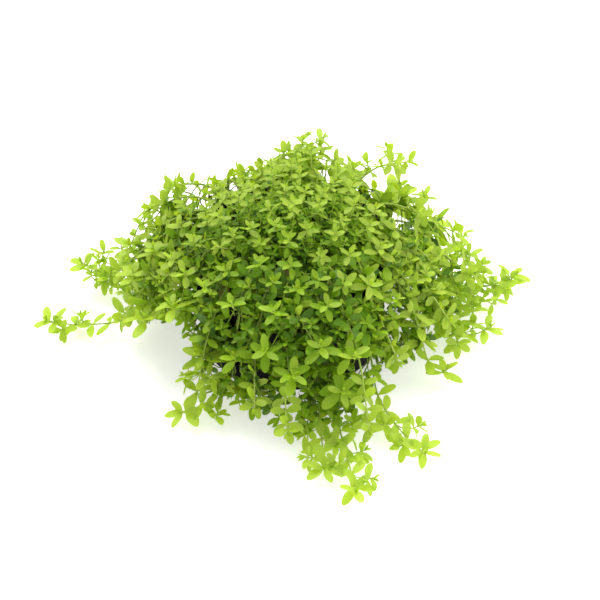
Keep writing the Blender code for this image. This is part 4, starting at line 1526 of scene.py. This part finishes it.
# %% The finish of the wool
def wool_material():
    """The finish of the wool and its fibres."""
    tree = Finish("mineral wool")
    felt = tree.noise(tree.place(), 1500.0, 5.0)
    lumps = tree.noise(tree.place(), 260.0, 3.0)
    colour = tree.ramp(
        felt * 0.55 + lumps * 0.45,
        (0.25, (0.010, 0.008, 0.005)),
        (0.50, (0.038, 0.031, 0.018)),
        (0.75, (0.100, 0.085, 0.052)),
    )
    return tree.finished(tree.surface(colour, 0.78 + 0.2 * felt, 0.10, tree.bump(felt, 0.8, 0.00020)))


# %% Loose fibres on the wool
def fibre_tree():
    """The tree that scatters fibres over the top of the wool."""
    tree = GeometryTree("loose fibres")
    density = tree.add_input("Fibres a square metre", "Float", 700000.0)
    longest = tree.add_input("Longest fibre", "Float", 0.0042)
    thickness = tree.add_input("Thickness to length", "Float", 0.012)
    upward = tree.add_input("Least upward facing", "Float", 0.3)
    seed = tree.add_input("Seed", "Int", 3)
    finish = tree.add_input("Wool finish", "Material")
    body = tree.geometry()
    facing = tree.part(tree.add("GeometryNodeInputNormal"), "Z")
    sockets = {"Mesh": body, "Selection": facing > upward, "Density": density, "Seed": seed}
    spots = tree.add("GeometryNodeDistributePointsOnFaces", None, sockets)
    sockets = {"Start": (-0.5, 0.0, 0.0), "Middle": (0.0, 0.16, 0.24), "End": (0.5, 0.0, 0.02)}
    strand = tree.add("GeometryNodeCurveQuadraticBezier", None, {"Resolution": 5, **sockets})
    circle = tree.add("GeometryNodeCurvePrimitiveCircle", None, {"Resolution": 3, "Radius": thickness})
    sockets = {"Curve": strand, "Profile Curve": circle, "Fill Caps": True}
    fibre = tree.add("GeometryNodeCurveToMesh", None, sockets)
    turn = tree.random_vector((-0.35, -0.55, 0.0), (0.35, 0.35, math.tau), seed + 1)
    length = longest * tree.random(0.35, 1.0, seed + 2)
    sockets = {"Points": spots, "Instance": fibre, "Rotation": turn, "Scale": length}
    fibres = tree.add("GeometryNodeInstanceOnPoints", None, sockets)
    real = tree.add("GeometryNodeRealizeInstances", None, {"Geometry": fibres})
    joined = tree.add("GeometryNodeJoinGeometry", None, {"Geometry": [body, real]})
    tree.finish(tree.add("GeometryNodeSetMaterial", None, {"Geometry": joined, "Material": finish}))
    return tree


fibres = fibre_tree()
modifier = wool.modifiers.new("Fibres", "NODES")
modifier.node_group = fibres.tree
modifier[fibres.identifiers["Wool finish"]] = wool_material()
apply_modifiers(wool)
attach(wool, "root")
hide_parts("wool_plug")
print("triangles in the wool with its fibres:", triangles_in(wool.data))

# %% [markdown]
# ## Table, light and camera
#
# The plant stands on a white table that runs into a white background. A large lamp above and behind gives
# the light its direction, a smaller one keeps the right side bright, and the white world softens both. The
# table glows a little, so that it stays white in the plant's shadow.

# %% Table
TABLE_SIZE = 3.0
TABLE_WHITE = (0.9, 0.9, 0.9, 1.0)
TABLE_ROUGHNESS = 0.8
TABLE_GLOW = (1.0, 0.99, 0.96, 1.0)
TABLE_GLOW_STRENGTH = 0.50

bm = bmesh.new()
bmesh.ops.create_grid(bm, x_segments=1, y_segments=1, size=TABLE_SIZE)
table = linked("table", bm)
tree = Finish("white table")
sockets = {"Base Color": TABLE_WHITE, "Roughness": TABLE_ROUGHNESS}
sockets |= {"Emission Color": TABLE_GLOW, "Emission Strength": TABLE_GLOW_STRENGTH}
table.data.materials.append(tree.finished(tree.add("ShaderNodeBsdfPrincipled", None, sockets)))

# %% Camera
CAMERA_DISTANCE = 0.60
CAMERA_LENS = 138.0
CAMERA_SENSOR = 36.0
CAMERA_NEAREST = 0.01
CAMERA_TARGET = Vector((0.00234, 0.0, 0.0107))

camera = bpy.data.objects.new("camera", bpy.data.cameras.new("camera"))
bpy.context.scene.collection.objects.link(camera)
back = Vector((0.0, -math.cos(VIEW_ELEVATION), math.sin(VIEW_ELEVATION)))
camera.location = CAMERA_TARGET + back * CAMERA_DISTANCE
camera.rotation_euler = (-back).to_track_quat("-Z", "Y").to_euler()
camera.data.lens = CAMERA_LENS
camera.data.sensor_width = CAMERA_SENSOR
camera.data.clip_start = CAMERA_NEAREST
bpy.context.scene.camera = camera
print("camera in mm:", [round(1000 * side) for side in camera.location])


# %% Lights
# Each lamp as (name, place, size, power)
LAMPS = (("key", (-0.15, 0.60, 0.95), 0.90, 15.0), ("fill", (0.80, -0.05, 0.42), 0.70, 4.0))
WORLD_WHITE = (1.0, 1.0, 1.0, 1.0)
WORLD_STRENGTH = 0.78

for name, place, size, power in LAMPS:
    light = bpy.data.lights.new(name, "AREA")
    light.size = size
    light.energy = power
    lamp = bpy.data.objects.new(name, light)
    lamp.location = place
    lamp.rotation_euler = (-Vector(place)).to_track_quat("-Z", "Y").to_euler()
    bpy.context.scene.collection.objects.link(lamp)
world = bpy.data.worlds.new("studio")
world.use_nodes = True
background = world.node_tree.nodes["Background"]
background.inputs["Color"].default_value = WORLD_WHITE
background.inputs["Strength"].default_value = WORLD_STRENGTH
bpy.context.scene.world = world
bpy.context.scene.view_settings.view_transform = "Standard"
